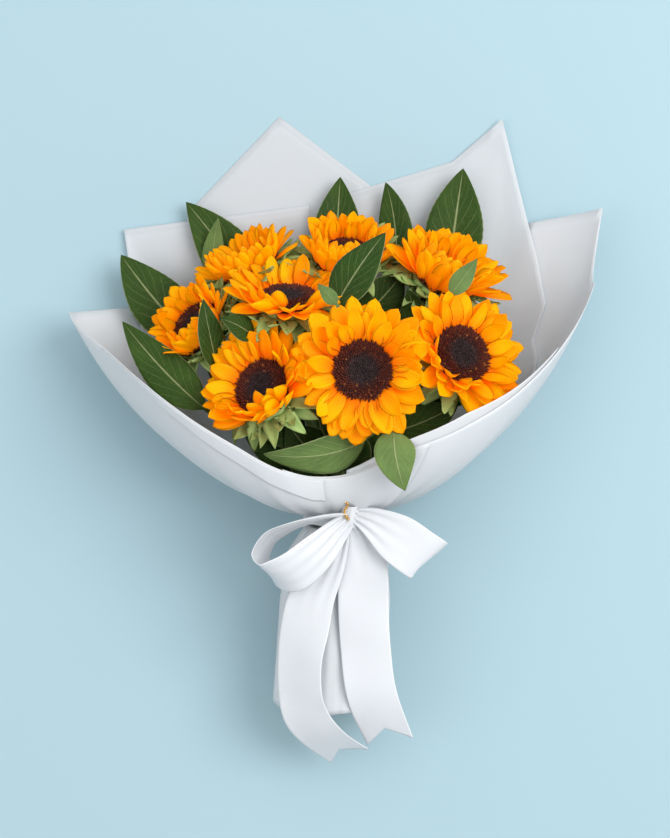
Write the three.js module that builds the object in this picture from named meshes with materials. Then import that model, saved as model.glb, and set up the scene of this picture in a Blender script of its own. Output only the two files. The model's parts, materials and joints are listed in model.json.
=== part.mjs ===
// A tied bunch of eight sunflowers in white florist's wrap, lying on its back.
// Millimetres. +Y runs from the cut stems to the flowers, +Z up, and the front of the bunch faces up.
import * as THREE from "three";

// Driving dimensions.
const stemDiameter = 11;
const stemGap = 2;
const stemRecess = 10;
const discRadius = 30;
const discRise = 9;
const petalThickness = 1.6;
const bractReach = 14;
const bractThickness = 1.6;
const calyxDepth = 24;
const leafThickness = 1.4;
const petioleWidth = 4;
const leafFold = 0.16;
const wrapThickness = 0.8;
const layerGap = 1.2;
const wrapBow = 0.22;
const ribbonWidth = 50;
const ribbonThickness = 0.8;
const ribbonNotch = 20;
const waistWidth = 14;
const bindingHeight = 10;
const bindingThickness = 2;
const wireDiameter = 2.2;
const fitGap = 0.5;

// Sides and steps of the faceted shapes.
const petalsPerHead = 13;
const stemSides = 7;
const stemSteps = 13;
const discSides = 18;
const wrapColumnsPerStation = 2;

// The tie, where the stems cross, and the cut end of the handle below it.
const tie = new THREE.Vector3(4, -73, 80);
const handleEnd = new THREE.Vector3(-4, -267, 46);
const handleHalfWidth = 60;
const handleLength = tie.distanceTo(handleEnd);
const cutSpread = 1.2;
const axis = tie.clone().sub(handleEnd).normalize();
const acrossAxis = new THREE.Vector3(1, 0, 0);
const aboveAxis = new THREE.Vector3().crossVectors(acrossAxis, axis).normalize();

// Sizes that follow from the ones above.
const bundleRing = (stemDiameter + stemGap) / (2 * Math.sin(Math.PI / 7));
const bundleRadius = bundleRing + stemDiameter / 2;
const bindingInner = bundleRadius + 3 * fitGap;
const bindingOuter = bindingInner + bindingThickness;
const neckRadius = bindingOuter + fitGap + wrapThickness;
const layerPitch = wrapThickness + layerGap;
const outermostLayer = 4;
const lowestLayer = 2;
const waistRadius = neckRadius + (outermostLayer + 1) * layerPitch + ribbonThickness + 2 * fitGap;
const neckHeight = waistWidth / 2 + 3 * layerPitch;

const petalYellow = new THREE.MeshStandardMaterial({ color: 0xffb300, roughness: 0.6, metalness: 0 });
const discBrown = new THREE.MeshStandardMaterial({ color: 0x2e1710, roughness: 0.9, metalness: 0 });
const bractGreen = new THREE.MeshStandardMaterial({ color: 0x6f8f3c, roughness: 0.7, metalness: 0 });
const leafGreen = new THREE.MeshStandardMaterial({ color: 0x2f5a28, roughness: 0.6, metalness: 0 });
const stemGreen = new THREE.MeshStandardMaterial({ color: 0x7c9a4a, roughness: 0.7, metalness: 0 });
const wrapWhite = new THREE.MeshStandardMaterial({ color: 0xf2f4f6, roughness: 0.5, metalness: 0 });
const ribbonWhite = new THREE.MeshStandardMaterial({ color: 0xffffff, roughness: 0.3, metalness: 0 });
const twineBrown = new THREE.MeshStandardMaterial({ color: 0xb59a6a, roughness: 0.9, metalness: 0 });
const wireGold = new THREE.MeshStandardMaterial({ color: 0xd9a94a, roughness: 0.35, metalness: 0.9 });

const bunch = new THREE.Group();

function addNode(name, geometry, material, parent = bunch) {
  const node = new THREE.Mesh(geometry, material);
  node.name = name;
  parent.add(node);
  return node;
}

function vector(point) {
  return new THREE.Vector3(...point);
}

// An indexed geometry whose faces point out, whichever way its grid ran.
function closedGeometry(position, index) {
  let volume = 0;
  for (let k = 0; k < index.length; k += 3) {
    const [a, b, c] = [0, 1, 2].map((n) => new THREE.Vector3().fromArray(position, index[k + n] * 3));
    volume += a.dot(b.cross(c));
  }
  const outward = volume < 0 ? index.slice().reverse() : index;
  const geometry = new THREE.BufferGeometry();
  geometry.setAttribute("position", new THREE.Float32BufferAttribute(position, 3));
  geometry.setIndex(outward);
  geometry.computeVertexNormals();
  return geometry;
}

// A closed plate of even thickness over a grid of points. A ring joins its last column to its first.
function plate(grid, thickness, isRing = false) {
  const columns = grid.length;
  const rows = grid[0].length;
  const lastColumn = columns - 1;
  const lastRow = rows - 1;
  const pointAt = (i, j) => {
    const column = isRing ? (i + columns) % columns : THREE.MathUtils.clamp(i, 0, lastColumn);
    return grid[column][THREE.MathUtils.clamp(j, 0, lastRow)];
  };
  const position = [];
  for (const side of [0.5, -0.5]) {
    for (let i = 0; i < columns; i += 1) {
      for (let j = 0; j < rows; j += 1) {
        const along = pointAt(i + 1, j).clone().sub(pointAt(i - 1, j));
        const across = pointAt(i, j + 1).clone().sub(pointAt(i, j - 1));
        const normal = along.cross(across).normalize();
        position.push(...pointAt(i, j).clone().addScaledVector(normal, side * thickness).toArray());
      }
    }
  }
  const index = [];
  const top = (i, j) => (i % columns) * rows + j;
  const under = (i, j) => columns * rows + top(i, j);
  const quad = (a, b, c, d) => index.push(a, b, c, a, c, d);
  const spans = isRing ? columns : lastColumn;
  for (let i = 0; i < spans; i += 1) {
    for (let j = 0; j < lastRow; j += 1) {
      quad(top(i, j), top(i + 1, j), top(i + 1, j + 1), top(i, j + 1));
      quad(under(i, j), under(i, j + 1), under(i + 1, j + 1), under(i + 1, j));
    }
    quad(top(i, 0), under(i, 0), under(i + 1, 0), top(i + 1, 0));
    quad(top(i, lastRow), top(i + 1, lastRow), under(i + 1, lastRow), under(i, lastRow));
  }
  for (let j = 0; !isRing && j < lastRow; j += 1) {
    quad(top(0, j), top(0, j + 1), under(0, j + 1), under(0, j));
    quad(top(lastColumn, j), under(lastColumn, j), under(lastColumn, j + 1), top(lastColumn, j + 1));
  }
  return closedGeometry(position, index);
}

// A solid turned around local Z whose rings may be lobed. Each ring gives radius and height at an angle.
function lobedSolid(rings, sides, bottomHeight, topHeight) {
  const position = [];
  for (const ring of rings) {
    for (let i = 0; i < sides; i += 1) {
      const [radius, height] = ring(i);
      const angle = (i / sides) * 2 * Math.PI;
      position.push(radius * Math.cos(angle), radius * Math.sin(angle), height);
    }
  }
  const bottom = rings.length * sides;
  const top = bottom + 1;
  position.push(0, 0, bottomHeight, 0, 0, topHeight);
  const index = [];
  const last = (rings.length - 1) * sides;
  for (let i = 0; i < sides; i += 1) {
    const next = (i + 1) % sides;
    index.push(bottom, next, i, top, last + i, last + next);
    for (let level = 0; level < last; level += sides) {
      index.push(level + i, level + next, level + sides + next);
      index.push(level + i, level + sides + next, level + sides + i);
    }
  }
  return closedGeometry(position, index);
}

// A round rod of even thickness along a smooth curve through points.
function rod(points, diameter, sides, steps) {
  const section = new THREE.Shape();
  for (let i = 0; i < sides; i += 1) {
    const angle = (i / sides) * 2 * Math.PI;
    const x = (diameter / 2) * Math.cos(angle);
    const y = (diameter / 2) * Math.sin(angle);
    if (i === 0) section.moveTo(x, y);
    else section.lineTo(x, y);
  }
  section.closePath();
  const extrudePath = new THREE.CatmullRomCurve3(points, false, "centripetal");
  return new THREE.ExtrudeGeometry(section, { steps, bevelEnabled: false, extrudePath });
}

// Flower heads. place is the middle of the disc, facing its normal, reach the tip of the longest petal.
// cup lifts the petals towards the disc's face, and spin turns the head about its own normal.
const heads = [
  { place: [-72, 51, 163], facing: [-0.5, 0.3, 0.8], reach: 56, cup: 0.25, spin: 0 },
  { place: [25, 68, 186], facing: [0, 0.08, 1], reach: 60, cup: 0.25, spin: 7 },
  { place: [122, 84, 152], facing: [0.42, 0.3, 0.85], reach: 58, cup: 0.25, spin: 3 },
  { place: [-48, 138, 132], facing: [0.0, 0.9, 0.42], reach: 52, cup: 0.2, spin: 11 },
  { place: [9, 183, 80], facing: [0.0, 0.75, 0.66], reach: 54, cup: 0.45, spin: 5 },
  { place: [108, 162, 92], facing: [0.35, 0.75, 0.56], reach: 58, cup: 0.35, spin: 9 },
  { place: [-140, 112, 100], facing: [-0.65, 0.45, 0.6], reach: 50, cup: 0.25, spin: 2 },
  { place: [-90, 176, 64], facing: [-0.4, 0.85, 0.35], reach: 48, cup: 0.3, spin: 13 },
];

// The petals of one head as a single scalloped ring around the disc.
function petalRing(head) {
  const innerRadius = discRadius + fitGap;
  const columnsPerPetal = 4;
  const columns = petalsPerHead * columnsPerPetal;
  const reachOf = [innerRadius + 7, 0.83 * head.reach, head.reach, 0.83 * head.reach];
  const baseHeight = -petalThickness;
  const grid = [];
  for (let i = 0; i < columns; i += 1) {
    const angle = (i / columns) * 2 * Math.PI;
    const outerRadius = reachOf[i % columnsPerPetal];
    const column = [0, 0.5, 1].map((share) => {
      const radius = THREE.MathUtils.lerp(innerRadius, outerRadius, share);
      const height = baseHeight + head.cup * (radius - innerRadius);
      return new THREE.Vector3(radius * Math.cos(angle), radius * Math.sin(angle), height);
    });
    grid.push(column);
  }
  return plate(grid, petalThickness, true);
}

// The green cup under the disc, with its pointed bracts, as one grown piece.
function calyx(head) {
  const sides = 20;
  const rimRadius = discRadius + 2;
  const topHeight = -petalThickness * 2 - fitGap;
  const bractHeight = (radius) => topHeight + head.cup * (radius - rimRadius) - bractThickness;
  const tipRadius = (i) => (i % 2 === 0 ? rimRadius + 4 : rimRadius + bractReach);
  const rings = [
    () => [stemDiameter / 2 + 1, topHeight - calyxDepth],
    () => [0.62 * rimRadius, topHeight - 0.8 * calyxDepth],
    () => [0.97 * rimRadius, topHeight - 0.38 * calyxDepth],
    (i) => [tipRadius(i), bractHeight(tipRadius(i)) - bractThickness],
    (i) => [tipRadius(i), bractHeight(tipRadius(i))],
    () => [rimRadius - 1, topHeight - fitGap],
  ];
  return lobedSolid(rings, sides, topHeight - calyxDepth, topHeight - fitGap);
}

// The domed disc of florets, a little hollow in the middle.
function floretDisc() {
  const base = -petalThickness * 2;
  const profile = [
    [0, base],
    [discRadius - 2, base],
    [discRadius, 0],
    [0.86 * discRadius, discRise * 0.9],
    [0.5 * discRadius, discRise],
    [0, discRise * 0.6],
  ];
  const outline = profile.map(([radius, height]) => new THREE.Vector2(radius, height));
  return new THREE.LatheGeometry(outline, discSides).rotateX(Math.PI / 2);
}

// A point of the bundle's cross-section, at a distance along the axis from the tie.
function bundlePoint(right, up, along) {
  return tie.clone()
    .addScaledVector(acrossAxis, right)
    .addScaledVector(aboveAxis, up)
    .addScaledVector(axis, along);
}

// Stems take places in the bundle in the same order round the axis as their heads, so none cross.
const middleStem = 3;
const outerStems = heads
  .map((head, n) => {
    const offset = vector(head.place).sub(tie);
    return { n, angle: Math.atan2(offset.dot(aboveAxis), offset.dot(acrossAxis)) };
  })
  .filter(({ n }) => n !== middleStem)
  .sort((a, b) => a.angle - b.angle);
const stemPlaces = new Map([[middleStem, [0, 0]]]);
outerStems.forEach(({ n }, order) => {
  const angle = outerStems[0].angle + (order / outerStems.length) * 2 * Math.PI;
  stemPlaces.set(n, [bundleRing * Math.cos(angle), bundleRing * Math.sin(angle)]);
});

function stemPoints(head, n) {
  const [right, up] = stemPlaces.get(n);
  const facing = vector(head.facing).normalize();
  const backOfHead = calyxDepth + 2 * petalThickness + 3 * fitGap;
  const top = vector(head.place).addScaledVector(facing, -backOfHead);
  const neck = top.clone().addScaledVector(facing, -stemDiameter);
  const cut = bundlePoint(right * cutSpread, up * cutSpread, stemRecess - handleLength);
  const belowTie = bundlePoint(right, up, -bindingHeight);
  const aboveTie = bundlePoint(right, up, 1.6 * bindingHeight);
  return [cut, belowTie, aboveTie, neck, top];
}

heads.forEach((head, n) => {
  const group = new THREE.Group();
  group.position.set(...head.place);
  const facing = vector(head.facing).normalize();
  group.quaternion.setFromUnitVectors(new THREE.Vector3(0, 0, 1), facing);
  group.rotateZ(THREE.MathUtils.degToRad(head.spin));
  bunch.add(group);
  const name = "flower_" + (n + 1);
  addNode(name + "_petals", petalRing(head), petalYellow, group);
  addNode(name + "_disc", floretDisc(), discBrown, group);
  addNode(name + "_calyx", calyx(head), bractGreen, group);
  addNode(name + "_stem", rod(stemPoints(head, n), stemDiameter, stemSides, stemSteps), stemGreen);
});

// Leaves: base, middle and tip of the midrib, greatest width, and the way the upper side faces.
const leaves = {
  leaf_back_left: { rib: [[-135, 88, 44], [-188, 140, 34], [-222, 190, 30]], width: 56, face: [0.2, 0.2, 1] },
  leaf_back_left_inner: { rib: [[-62, 112, 30], [-108, 190, 10], [-156, 246, 14]], width: 56, face: [0.2, 0, 1] },
  leaf_back_left_small: { rib: [[-128, 150, 32], [-130, 190, 24], [-122, 228, 30]], width: 24, face: [0.3, 0, 1] },
  leaf_back_middle: { rib: [[-2, 150, 20], [0, 215, 14], [4, 272, 14]], width: 50, face: [0.1, 0, 1] },
  leaf_back_right_inner: { rib: [[62, 150, 26], [66, 222, 20], [51, 266, 18]], width: 34, face: [-0.2, 0, 1] },
  leaf_back_right: { rib: [[112, 140, 26], [122, 222, 20], [131, 280, 22]], width: 56, face: [0, -0.1, 1] },
  leaf_left_rim: { rib: [[-118, 22, 138], [-168, 60, 128], [-213, 118, 112]], width: 40, face: [-0.3, 0.5, 0.9] },
  leaf_centre: { rib: [[-8, 118, 148], [16, 164, 158], [48, 204, 142]], width: 46, face: [-0.4, 0.5, 0.8] },
  leaf_centre_small: { rib: [[2, 128, 200], [-6, 138, 206], [-18, 150, 202]], width: 14, face: [0, 0.2, 1] },
  leaf_left_inner: { rib: [[-115, 62, 128], [-124, 100, 160], [-130, 138, 158]], width: 26, face: [0.5, 0, 0.9] },
  leaf_left_lower: { rib: [[-78, 98, 150], [-90, 112, 170], [-112, 118, 176]], width: 24, face: [0, 0.4, 1] },
  leaf_front_curl: { rib: [[40, 12, 140], [-6, -10, 168], [-74, -6, 174]], width: 36, face: [0, -0.6, 0.8] },
  leaf_front_hanging: { rib: [[56, 18, 176], [52, -12, 203], [66, -48, 189]], width: 38, face: [0.1, -0.2, 1] },
  leaf_right_small: { rib: [[108, 138, 150], [122, 156, 154], [138, 178, 146]], width: 20, face: [0.2, 0.2, 1] },
};

// A leaf or its stalk as a thin folded plate: half-widths along the midrib, from stalk to point.
function leafBlade({ rib, width, face }) {
  const stalkShare = 0.14;
  const midrib = new THREE.QuadraticBezierCurve3(...rib.map(vector));
  const rows = [0, stalkShare, 0.28, 0.45, 0.63, 0.82, 1];
  const upper = vector(face).normalize();
  const grid = rows.map((share) => {
    const bladeShare = Math.max(0, (share - stalkShare) / (1 - stalkShare));
    const blade = (width / 2) * Math.sin(Math.PI * Math.pow(bladeShare, 0.75));
    const halfWidth = Math.max(petioleWidth / 2, blade) * (share === 1 ? 0.3 : 1);
    const centre = midrib.getPoint(share);
    const side = new THREE.Vector3().crossVectors(midrib.getTangent(share), upper).normalize();
    return [-1, 0, 1].map((across) =>
      centre.clone()
        .addScaledVector(side, across * halfWidth)
        .addScaledVector(upper, Math.abs(across) * halfWidth * leafFold),
    );
  });
  return plate(grid, leafThickness);
}

for (const [name, leaf] of Object.entries(leaves)) addNode(name, leafBlade(leaf), leafGreen);

// The lip that all wrap sheets share, once round the bunch from the middle of its front, leftwards.
const lip = new THREE.CatmullRomCurve3(
  [
    [4, -30, 146],
    [-50, -22, 176],
    [-105, 8, 186],
    [-166, 50, 172],
    [-222, 94, 126],
    [-266, 136, 70],
    [-262, 220, 26],
    [-232, 296, 4],
    [-155, 340, 0],
    [-58, 337, 0],
    [56, 342, 0],
    [172, 334, 8],
    [244, 298, 30],
    [270, 230, 62],
    [254, 160, 105],
    [214, 94, 146],
    [164, 44, 174],
    [114, 16, 184],
    [60, -6, 178],
  ].map(vector),
  true,
  "centripetal",
);
const lipStations = lip.points.length;

// A point of the wrap at a station of the lip, a share of the way up from the tie, in a layer that
// counts outwards. The sheets bow outwards, and flatten where they meet the surface they lie on.
function wrapPoint(station, share, layer) {
  const turn = ((station + lipStations) % lipStations) / lipStations;
  const mouth = lip.getPoint(turn);
  const offset = mouth.clone().sub(tie);
  const radial = offset.addScaledVector(axis, -offset.dot(axis)).normalize();
  const foot = tie.clone().addScaledVector(radial, neckRadius + layer * layerPitch);
  if (share < 0) return foot.addScaledVector(axis, -waistWidth / 2);
  const neck = tie.clone().addScaledVector(radial, neckRadius).addScaledVector(axis, neckHeight);
  const rise = mouth.clone().sub(neck);
  const outward = radial.clone().addScaledVector(rise, -radial.dot(rise) / rise.lengthSq()).normalize();
  const corner = radial.clone().add(outward).multiplyScalar(1 / (1 + radial.dot(outward)));
  const control = neck.clone().lerp(mouth, 0.5).addScaledVector(outward, wrapBow * rise.length());
  const sheet = new THREE.QuadraticBezierCurve3(neck, control, mouth);
  const point = sheet.getPoint(share);
  point.addScaledVector(share > 0 ? outward : corner, layer * layerPitch);
  const floor = wrapThickness / 2 + Math.max(0, lowestLayer - layer) * layerPitch;
  point.z = Math.max(point.z, floor);
  return point;
}

// The gathered foot of a sheet under the ribbon, then shares of the way up that all sheets have.
const sharedRows = [-1, 0, 0.1, 0.2, 0.32, 0.44, 0.58];
const lastSharedRow = sharedRows[sharedRows.length - 1];

// Wrap sheets: layer, the stations between which each one runs, and its top edge as pairs of
// station and share of the way from the tie to the lip.
const wrapSheets = {
  wrap_back_left: { layer: 0, top: [[4.5, 0.62], [6.5, 0.72], [7, 0.84], [9.5, 0.77]] },
  wrap_back: { layer: 2, top: [[6.5, 0.62], [8, 0.785], [9, 1], [10.5, 0.7], [12, 0.62]] },
  wrap_right_tall: {
    layer: 1,
    top: [[9.5, 0.79], [10.5, 0.88], [11, 1], [12, 0.72], [12.5, 0.66], [13.5, 0.62], [15.5, 0.62]],
  },
  wrap_right: { layer: 3, top: [[11.5, 0.79], [13, 1], [20, 1]] },
  wrap_left: { layer: 4, top: [[-1.5, 1], [5, 1], [6.5, 0.7]] },
};

function wrapSheet({ layer, top }) {
  const first = top[0][0];
  const last = top[top.length - 1][0];
  const columns = Math.round((last - first) * wrapColumnsPerStation);
  const grid = [];
  for (let i = 0; i <= columns; i += 1) {
    const station = first + ((last - first) * i) / columns;
    const span = Math.max(1, top.findIndex(([end]) => end >= station));
    const [[from, low], [to, high]] = [top[span - 1], top[span]];
    const reach = THREE.MathUtils.mapLinear(station, from, to, low, high);
    const shares = [...sharedRows, (lastSharedRow + reach) / 2, reach];
    grid.push(shares.map((share) => wrapPoint(station, share, layer)));
  }
  return plate(grid, wrapThickness);
}

for (const [name, sheet] of Object.entries(wrapSheets)) addNode(name, wrapSheet(sheet), wrapWhite);

// The wrapped handle below the tie: a sleeve that opens like a bell and lies flat underneath.
// Each level is a distance from the tie, with half of the sleeve's width and half of its depth there.
const handleTop = waistWidth / 2 + 3 * fitGap;
const handleHalfDepth = handleEnd.z;
const handleLevels = [
  [handleTop, waistRadius, waistRadius],
  [0.2 * handleLength, 0.84 * handleHalfWidth, 0.86 * handleHalfDepth],
  [0.45 * handleLength, 0.95 * handleHalfWidth, 0.95 * handleHalfDepth],
  [handleLength, handleHalfWidth, handleHalfDepth],
];
const handleColumns = 20;
const handleGrid = [];
for (let i = 0; i < handleColumns; i += 1) {
  const angle = (i / handleColumns) * 2 * Math.PI;
  handleGrid.push(
    handleLevels.map(([below, halfWidth, halfDepth]) => {
      const point = bundlePoint(halfWidth * Math.cos(angle), halfDepth * Math.sin(angle), -below);
      point.z = Math.max(point.z, wrapThickness / 2);
      return point;
    }),
  );
}
addNode("wrap_handle", plate(handleGrid, wrapThickness, true), wrapWhite);

// The twine that binds the stems, inside the wrap.
const bindingProfile = [
  [bindingInner, -bindingHeight / 2],
  [bindingOuter, -bindingHeight / 2],
  [bindingOuter, bindingHeight / 2],
  [bindingInner, bindingHeight / 2],
  [bindingInner, -bindingHeight / 2],
].map(([radius, height]) => new THREE.Vector2(radius, height));
const binding = addNode("stem_binding", new THREE.LatheGeometry(bindingProfile, 20), twineBrown);
binding.position.copy(tie);
binding.quaternion.setFromUnitVectors(new THREE.Vector3(0, 1, 0), axis);

// The satin ribbon: a band round the waist, a knot on top, two loops and two tails.
const waistColumns = 20;
const waistGrid = [];
for (let i = 0; i < waistColumns; i += 1) {
  const angle = (i / waistColumns) * 2 * Math.PI;
  const right = waistRadius * Math.cos(angle);
  const up = waistRadius * Math.sin(angle);
  waistGrid.push([-0.5, 0.5].map((share) => bundlePoint(right, up, share * waistWidth)));
}
addNode("ribbon_waist", plate(waistGrid, ribbonThickness, true), ribbonWhite);

const knotHalf = new THREE.Vector3(13, 11, 8);
const knotPlace = bundlePoint(6, waistRadius + knotHalf.z + ribbonThickness + fitGap, -3);
const knot = addNode("ribbon_knot", new THREE.SphereGeometry(1, 12, 8), ribbonWhite);
knot.scale.copy(knotHalf);
knot.position.copy(knotPlace);

// A strip of ribbon along a path. widths are shares of the full width at the path's points, and
// side gives the direction of the strip's width.
function ribbonStrip(points, widths, side, steps, notch = 0) {
  const path = new THREE.CatmullRomCurve3(points, false, "centripetal");
  const widthAt = (share) => {
    const place = share * (widths.length - 1);
    const low = Math.min(Math.floor(place), widths.length - 2);
    return THREE.MathUtils.lerp(widths[low], widths[low + 1], place - low) * ribbonWidth;
  };
  const across = vector(side).normalize();
  const grid = [];
  for (let i = 0; i <= steps; i += 1) {
    const share = i / steps;
    const centre = path.getPoint(share);
    const halfWidth = widthAt(share) / 2;
    const column = [-1, 0, 1].map((edge) => centre.clone().addScaledVector(across, edge * halfWidth));
    if (i === steps) column[1].addScaledVector(path.getTangent(1), -notch);
    grid.push(column);
  }
  return plate(grid, ribbonThickness);
}

function besideKnot(right, forward, up) {
  return knotPlace.clone().add(new THREE.Vector3(right, forward, up));
}

const loopWidths = [0.3, 0.7, 1, 1, 1, 0.7, 0.3];
const leftLoop = [[-14, -2, 3], [-45, -14, 22], [-80, -30, 20], [-96, -42, 2], [-80, -44, -14], [-45, -30, -10], [-14, -8, -3]];
const rightLoop = [[14, -2, 3], [45, -10, 20], [80, -26, 16], [92, -38, 0], [76, -42, -14], [45, -30, -10], [14, -8, -3]];
const loopSide = [0, 1, 0.25];
const loopSteps = 12;
for (const [name, path] of [["ribbon_loop_left", leftLoop], ["ribbon_loop_right", rightLoop]]) {
  const points = path.map((point) => besideKnot(...point));
  addNode(name, ribbonStrip(points, loopWidths, loopSide, loopSteps), ribbonWhite);
}

// The tails lie over the handle and hang a little past its cut end.
const tailClearance = 2.5;
function overHandle(right, along, lift) {
  const share = Math.min(along, 1);
  const crown = tie.clone().lerp(handleEnd, along);
  const girth = share < 0.2 ? 0.9 : 0.97;
  const depth = handleHalfDepth * girth + tailClearance + lift;
  return crown.addScaledVector(aboveAxis, depth).addScaledVector(acrossAxis, right);
}
const tailWidths = [0.4, 0.9, 1, 1, 1];
const leftTail = [[0, 0.14, 5], [-20, 0.42, 5], [-34, 0.85, 5], [-16, 1.14, -2], [12, 1.3, -16]];
const rightTail = [[16, 0.14, 1], [24, 0.45, 0.5], [24, 0.8, 0.5], [32, 1.0, 0], [42, 1.24, -12]];
const tailSteps = 10;
for (const [name, path] of [["ribbon_tail_left", leftTail], ["ribbon_tail_right", rightTail]]) {
  const points = path.map((point) => overHandle(...point));
  addNode(name, ribbonStrip(points, tailWidths, [1, 0, 0], tailSteps, ribbonNotch), ribbonWhite);
}

// The twisted wire that holds the bow, standing out beside the knot.
const wirePath = [[-6, 13, 4], [-9, 15, 9], [-14, 14, 12], [-18, 10, 10]].map((point) => besideKnot(...point));
addNode("bow_wire", rod(wirePath, wireDiameter, 6, 6), wireGold);

// The box of the whole bunch is centred over the origin, which lies on the surface it rests on.
bunch.updateMatrixWorld(true);
const box = new THREE.Box3().setFromObject(bunch, true);
const middle = box.getCenter(new THREE.Vector3());
bunch.position.set(-middle.x, -middle.y, -box.min.z);

export default bunch;
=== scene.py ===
"""A tied bunch of eight sunflowers in frosted florist's wrap with a white satin bow, lying on its back.

Places are design millimetres: +Y runs from the cut stems to the flowers and +Z is the bunch's front.
place() turns them into the frame's metres, measured from the twine that binds the stems.
"""

import json
import math
import random

import bpy
import numpy as np
from bpy.props import FloatProperty, FloatVectorProperty, IntProperty, PointerProperty
from mathutils import Matrix, Vector

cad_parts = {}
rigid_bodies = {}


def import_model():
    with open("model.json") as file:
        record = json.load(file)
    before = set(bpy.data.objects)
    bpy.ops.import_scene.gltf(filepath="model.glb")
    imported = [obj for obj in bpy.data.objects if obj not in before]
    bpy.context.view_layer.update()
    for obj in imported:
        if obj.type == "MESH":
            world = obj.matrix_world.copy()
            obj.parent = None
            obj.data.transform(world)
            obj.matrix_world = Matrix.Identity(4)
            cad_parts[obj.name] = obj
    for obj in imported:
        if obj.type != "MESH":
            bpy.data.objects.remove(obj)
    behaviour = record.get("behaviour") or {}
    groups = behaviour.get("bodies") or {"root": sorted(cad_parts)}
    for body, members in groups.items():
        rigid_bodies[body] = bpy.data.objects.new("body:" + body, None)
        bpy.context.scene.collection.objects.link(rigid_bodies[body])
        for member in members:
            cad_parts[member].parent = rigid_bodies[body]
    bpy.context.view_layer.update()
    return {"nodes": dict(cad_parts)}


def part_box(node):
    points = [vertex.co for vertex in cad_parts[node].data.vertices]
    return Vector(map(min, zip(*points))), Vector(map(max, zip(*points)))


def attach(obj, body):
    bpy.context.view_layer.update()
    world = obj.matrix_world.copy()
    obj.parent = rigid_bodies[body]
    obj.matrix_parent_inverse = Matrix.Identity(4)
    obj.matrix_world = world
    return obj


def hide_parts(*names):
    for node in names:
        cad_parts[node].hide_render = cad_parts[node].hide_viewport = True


bl_info = {
    "name": "Bunch of Sunflowers",
    "version": (1, 0, 0),
    "blender": (4, 5, 0),
    "location": "View3D > Sidebar > Sunflowers",
    "description": "Builds the petals, florets, leaves, wrap and bow of a tied bunch of sunflowers",
    "category": "Object",
}

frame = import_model()
MM = 0.001
HEAD_COUNT = 8
BODY = "root"

# The tie, where the stems cross, and the cut end of the handle, in design millimetres.
TIE = np.array([4.0, -73.0, 80.0])
HANDLE_END = np.array([-4.0, -267.0, 46.0])
AXIS = (TIE - HANDLE_END) / np.linalg.norm(TIE - HANDLE_END)
RIGHT = np.array([1.0, 0.0, 0.0])
ABOVE = np.cross(RIGHT, AXIS)
HANDLE_LENGTH = float(np.linalg.norm(TIE - HANDLE_END))
HANDLE_HALF_WIDTH = 60.0
HANDLE_HALF_DEPTH = float(HANDLE_END[2])
NECK_RADIUS = 25.1
LAYER_PITCH = 2.0
WAIST_RADIUS = 36.9
WAIST_WIDTH = 14.0
NECK_HEIGHT = 7.0

SHIFT = np.array((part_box("stem_binding")[0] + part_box("stem_binding")[1]) / 2) / MM - TIE


def place(points):
    """Design millimetres as metres in the frame."""
    return (np.asarray(points, float) + SHIFT) * MM


def on_bundle(right, up, along):
    """A point beside the bundle's axis, at a distance along it from the tie."""
    return TIE + RIGHT * right + ABOVE * up + AXIS * along


def unit(vectors):
    length = np.linalg.norm(vectors, axis=-1, keepdims=True)
    return vectors / np.maximum(length, 1e-9)


# ---------------------------------------------------------------- sizes and colours


def size(name, description, default):
    return FloatProperty(name=name, description=description, default=default, min=0.0, unit="LENGTH")


def colour(name, description, default):
    return FloatVectorProperty(
        name=name, description=description, default=default, size=3, min=0.0, max=1.0, subtype="COLOR"
    )


class FlowerSettings(bpy.types.PropertyGroup):
    """Sizes and colours of the flower heads and stems."""

    petal_length: size("Petal length", "Length of a ray petal of the outer ring", 0.042)
    petals_per_ring: IntProperty(
        name="Petals per ring", description="Ray petals in one ring", default=13, min=5
    )
    floret_count: IntProperty(name="Florets", description="Florets on a disc", default=620, min=50)
    floret_size: size("Floret size", "Height of one floret", 0.0034)
    bract_length: size("Bract length", "Length of a green bract under the petals", 0.034)
    stem_radius: size("Stem radius", "Half of the thickness of a stem", 0.0055)
    petal_yellow: colour("Petal yellow", "Colour of a petal's outer half", (1.0, 0.52, 0.0))
    petal_orange: colour("Petal orange", "Colour at the foot of a petal", (1.0, 0.22, 0.0))
    floret_rim: colour("Rim florets", "Colour of the open florets round the disc", (0.06, 0.011, 0.006))
    floret_centre: colour("Middle florets", "Colour of the closed florets", (0.014, 0.008, 0.009))
    bract_green: colour("Bract green", "Colour of bracts and stems", (0.085, 0.165, 0.035))


class LeafSettings(bpy.types.PropertyGroup):
    """Sizes and colours of the leaves."""

    thickness: size("Leaf thickness", "Thickness of a leaf's blade", 0.0006)
    fold: FloatProperty(name="Fold", description="How far a leaf folds along its midrib", default=0.2)
    upper_green: colour("Upper green", "Colour of a leaf's upper side", (0.0175, 0.051, 0.0035))
    under_green: colour("Underside green", "Colour of a leaf's underside", (0.095, 0.16, 0.042))
    vein: colour("Vein", "Colour of the midrib and veins", (0.34, 0.42, 0.16))


class WrapSettings(bpy.types.PropertyGroup):
    """Sizes and colours of the wrap."""

    thickness: size("Film thickness", "Thickness of a wrap sheet", 0.0005)
    pleat_depth: size("Pleat depth", "Depth of the pleats at the gathered neck", 0.0022)
    pleats: IntProperty(name="Pleats", description="Pleats round the gathered neck", default=17, min=3)
    film_white: colour("Film white", "Colour of the frosted film", (0.735, 0.755, 0.77))


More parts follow.
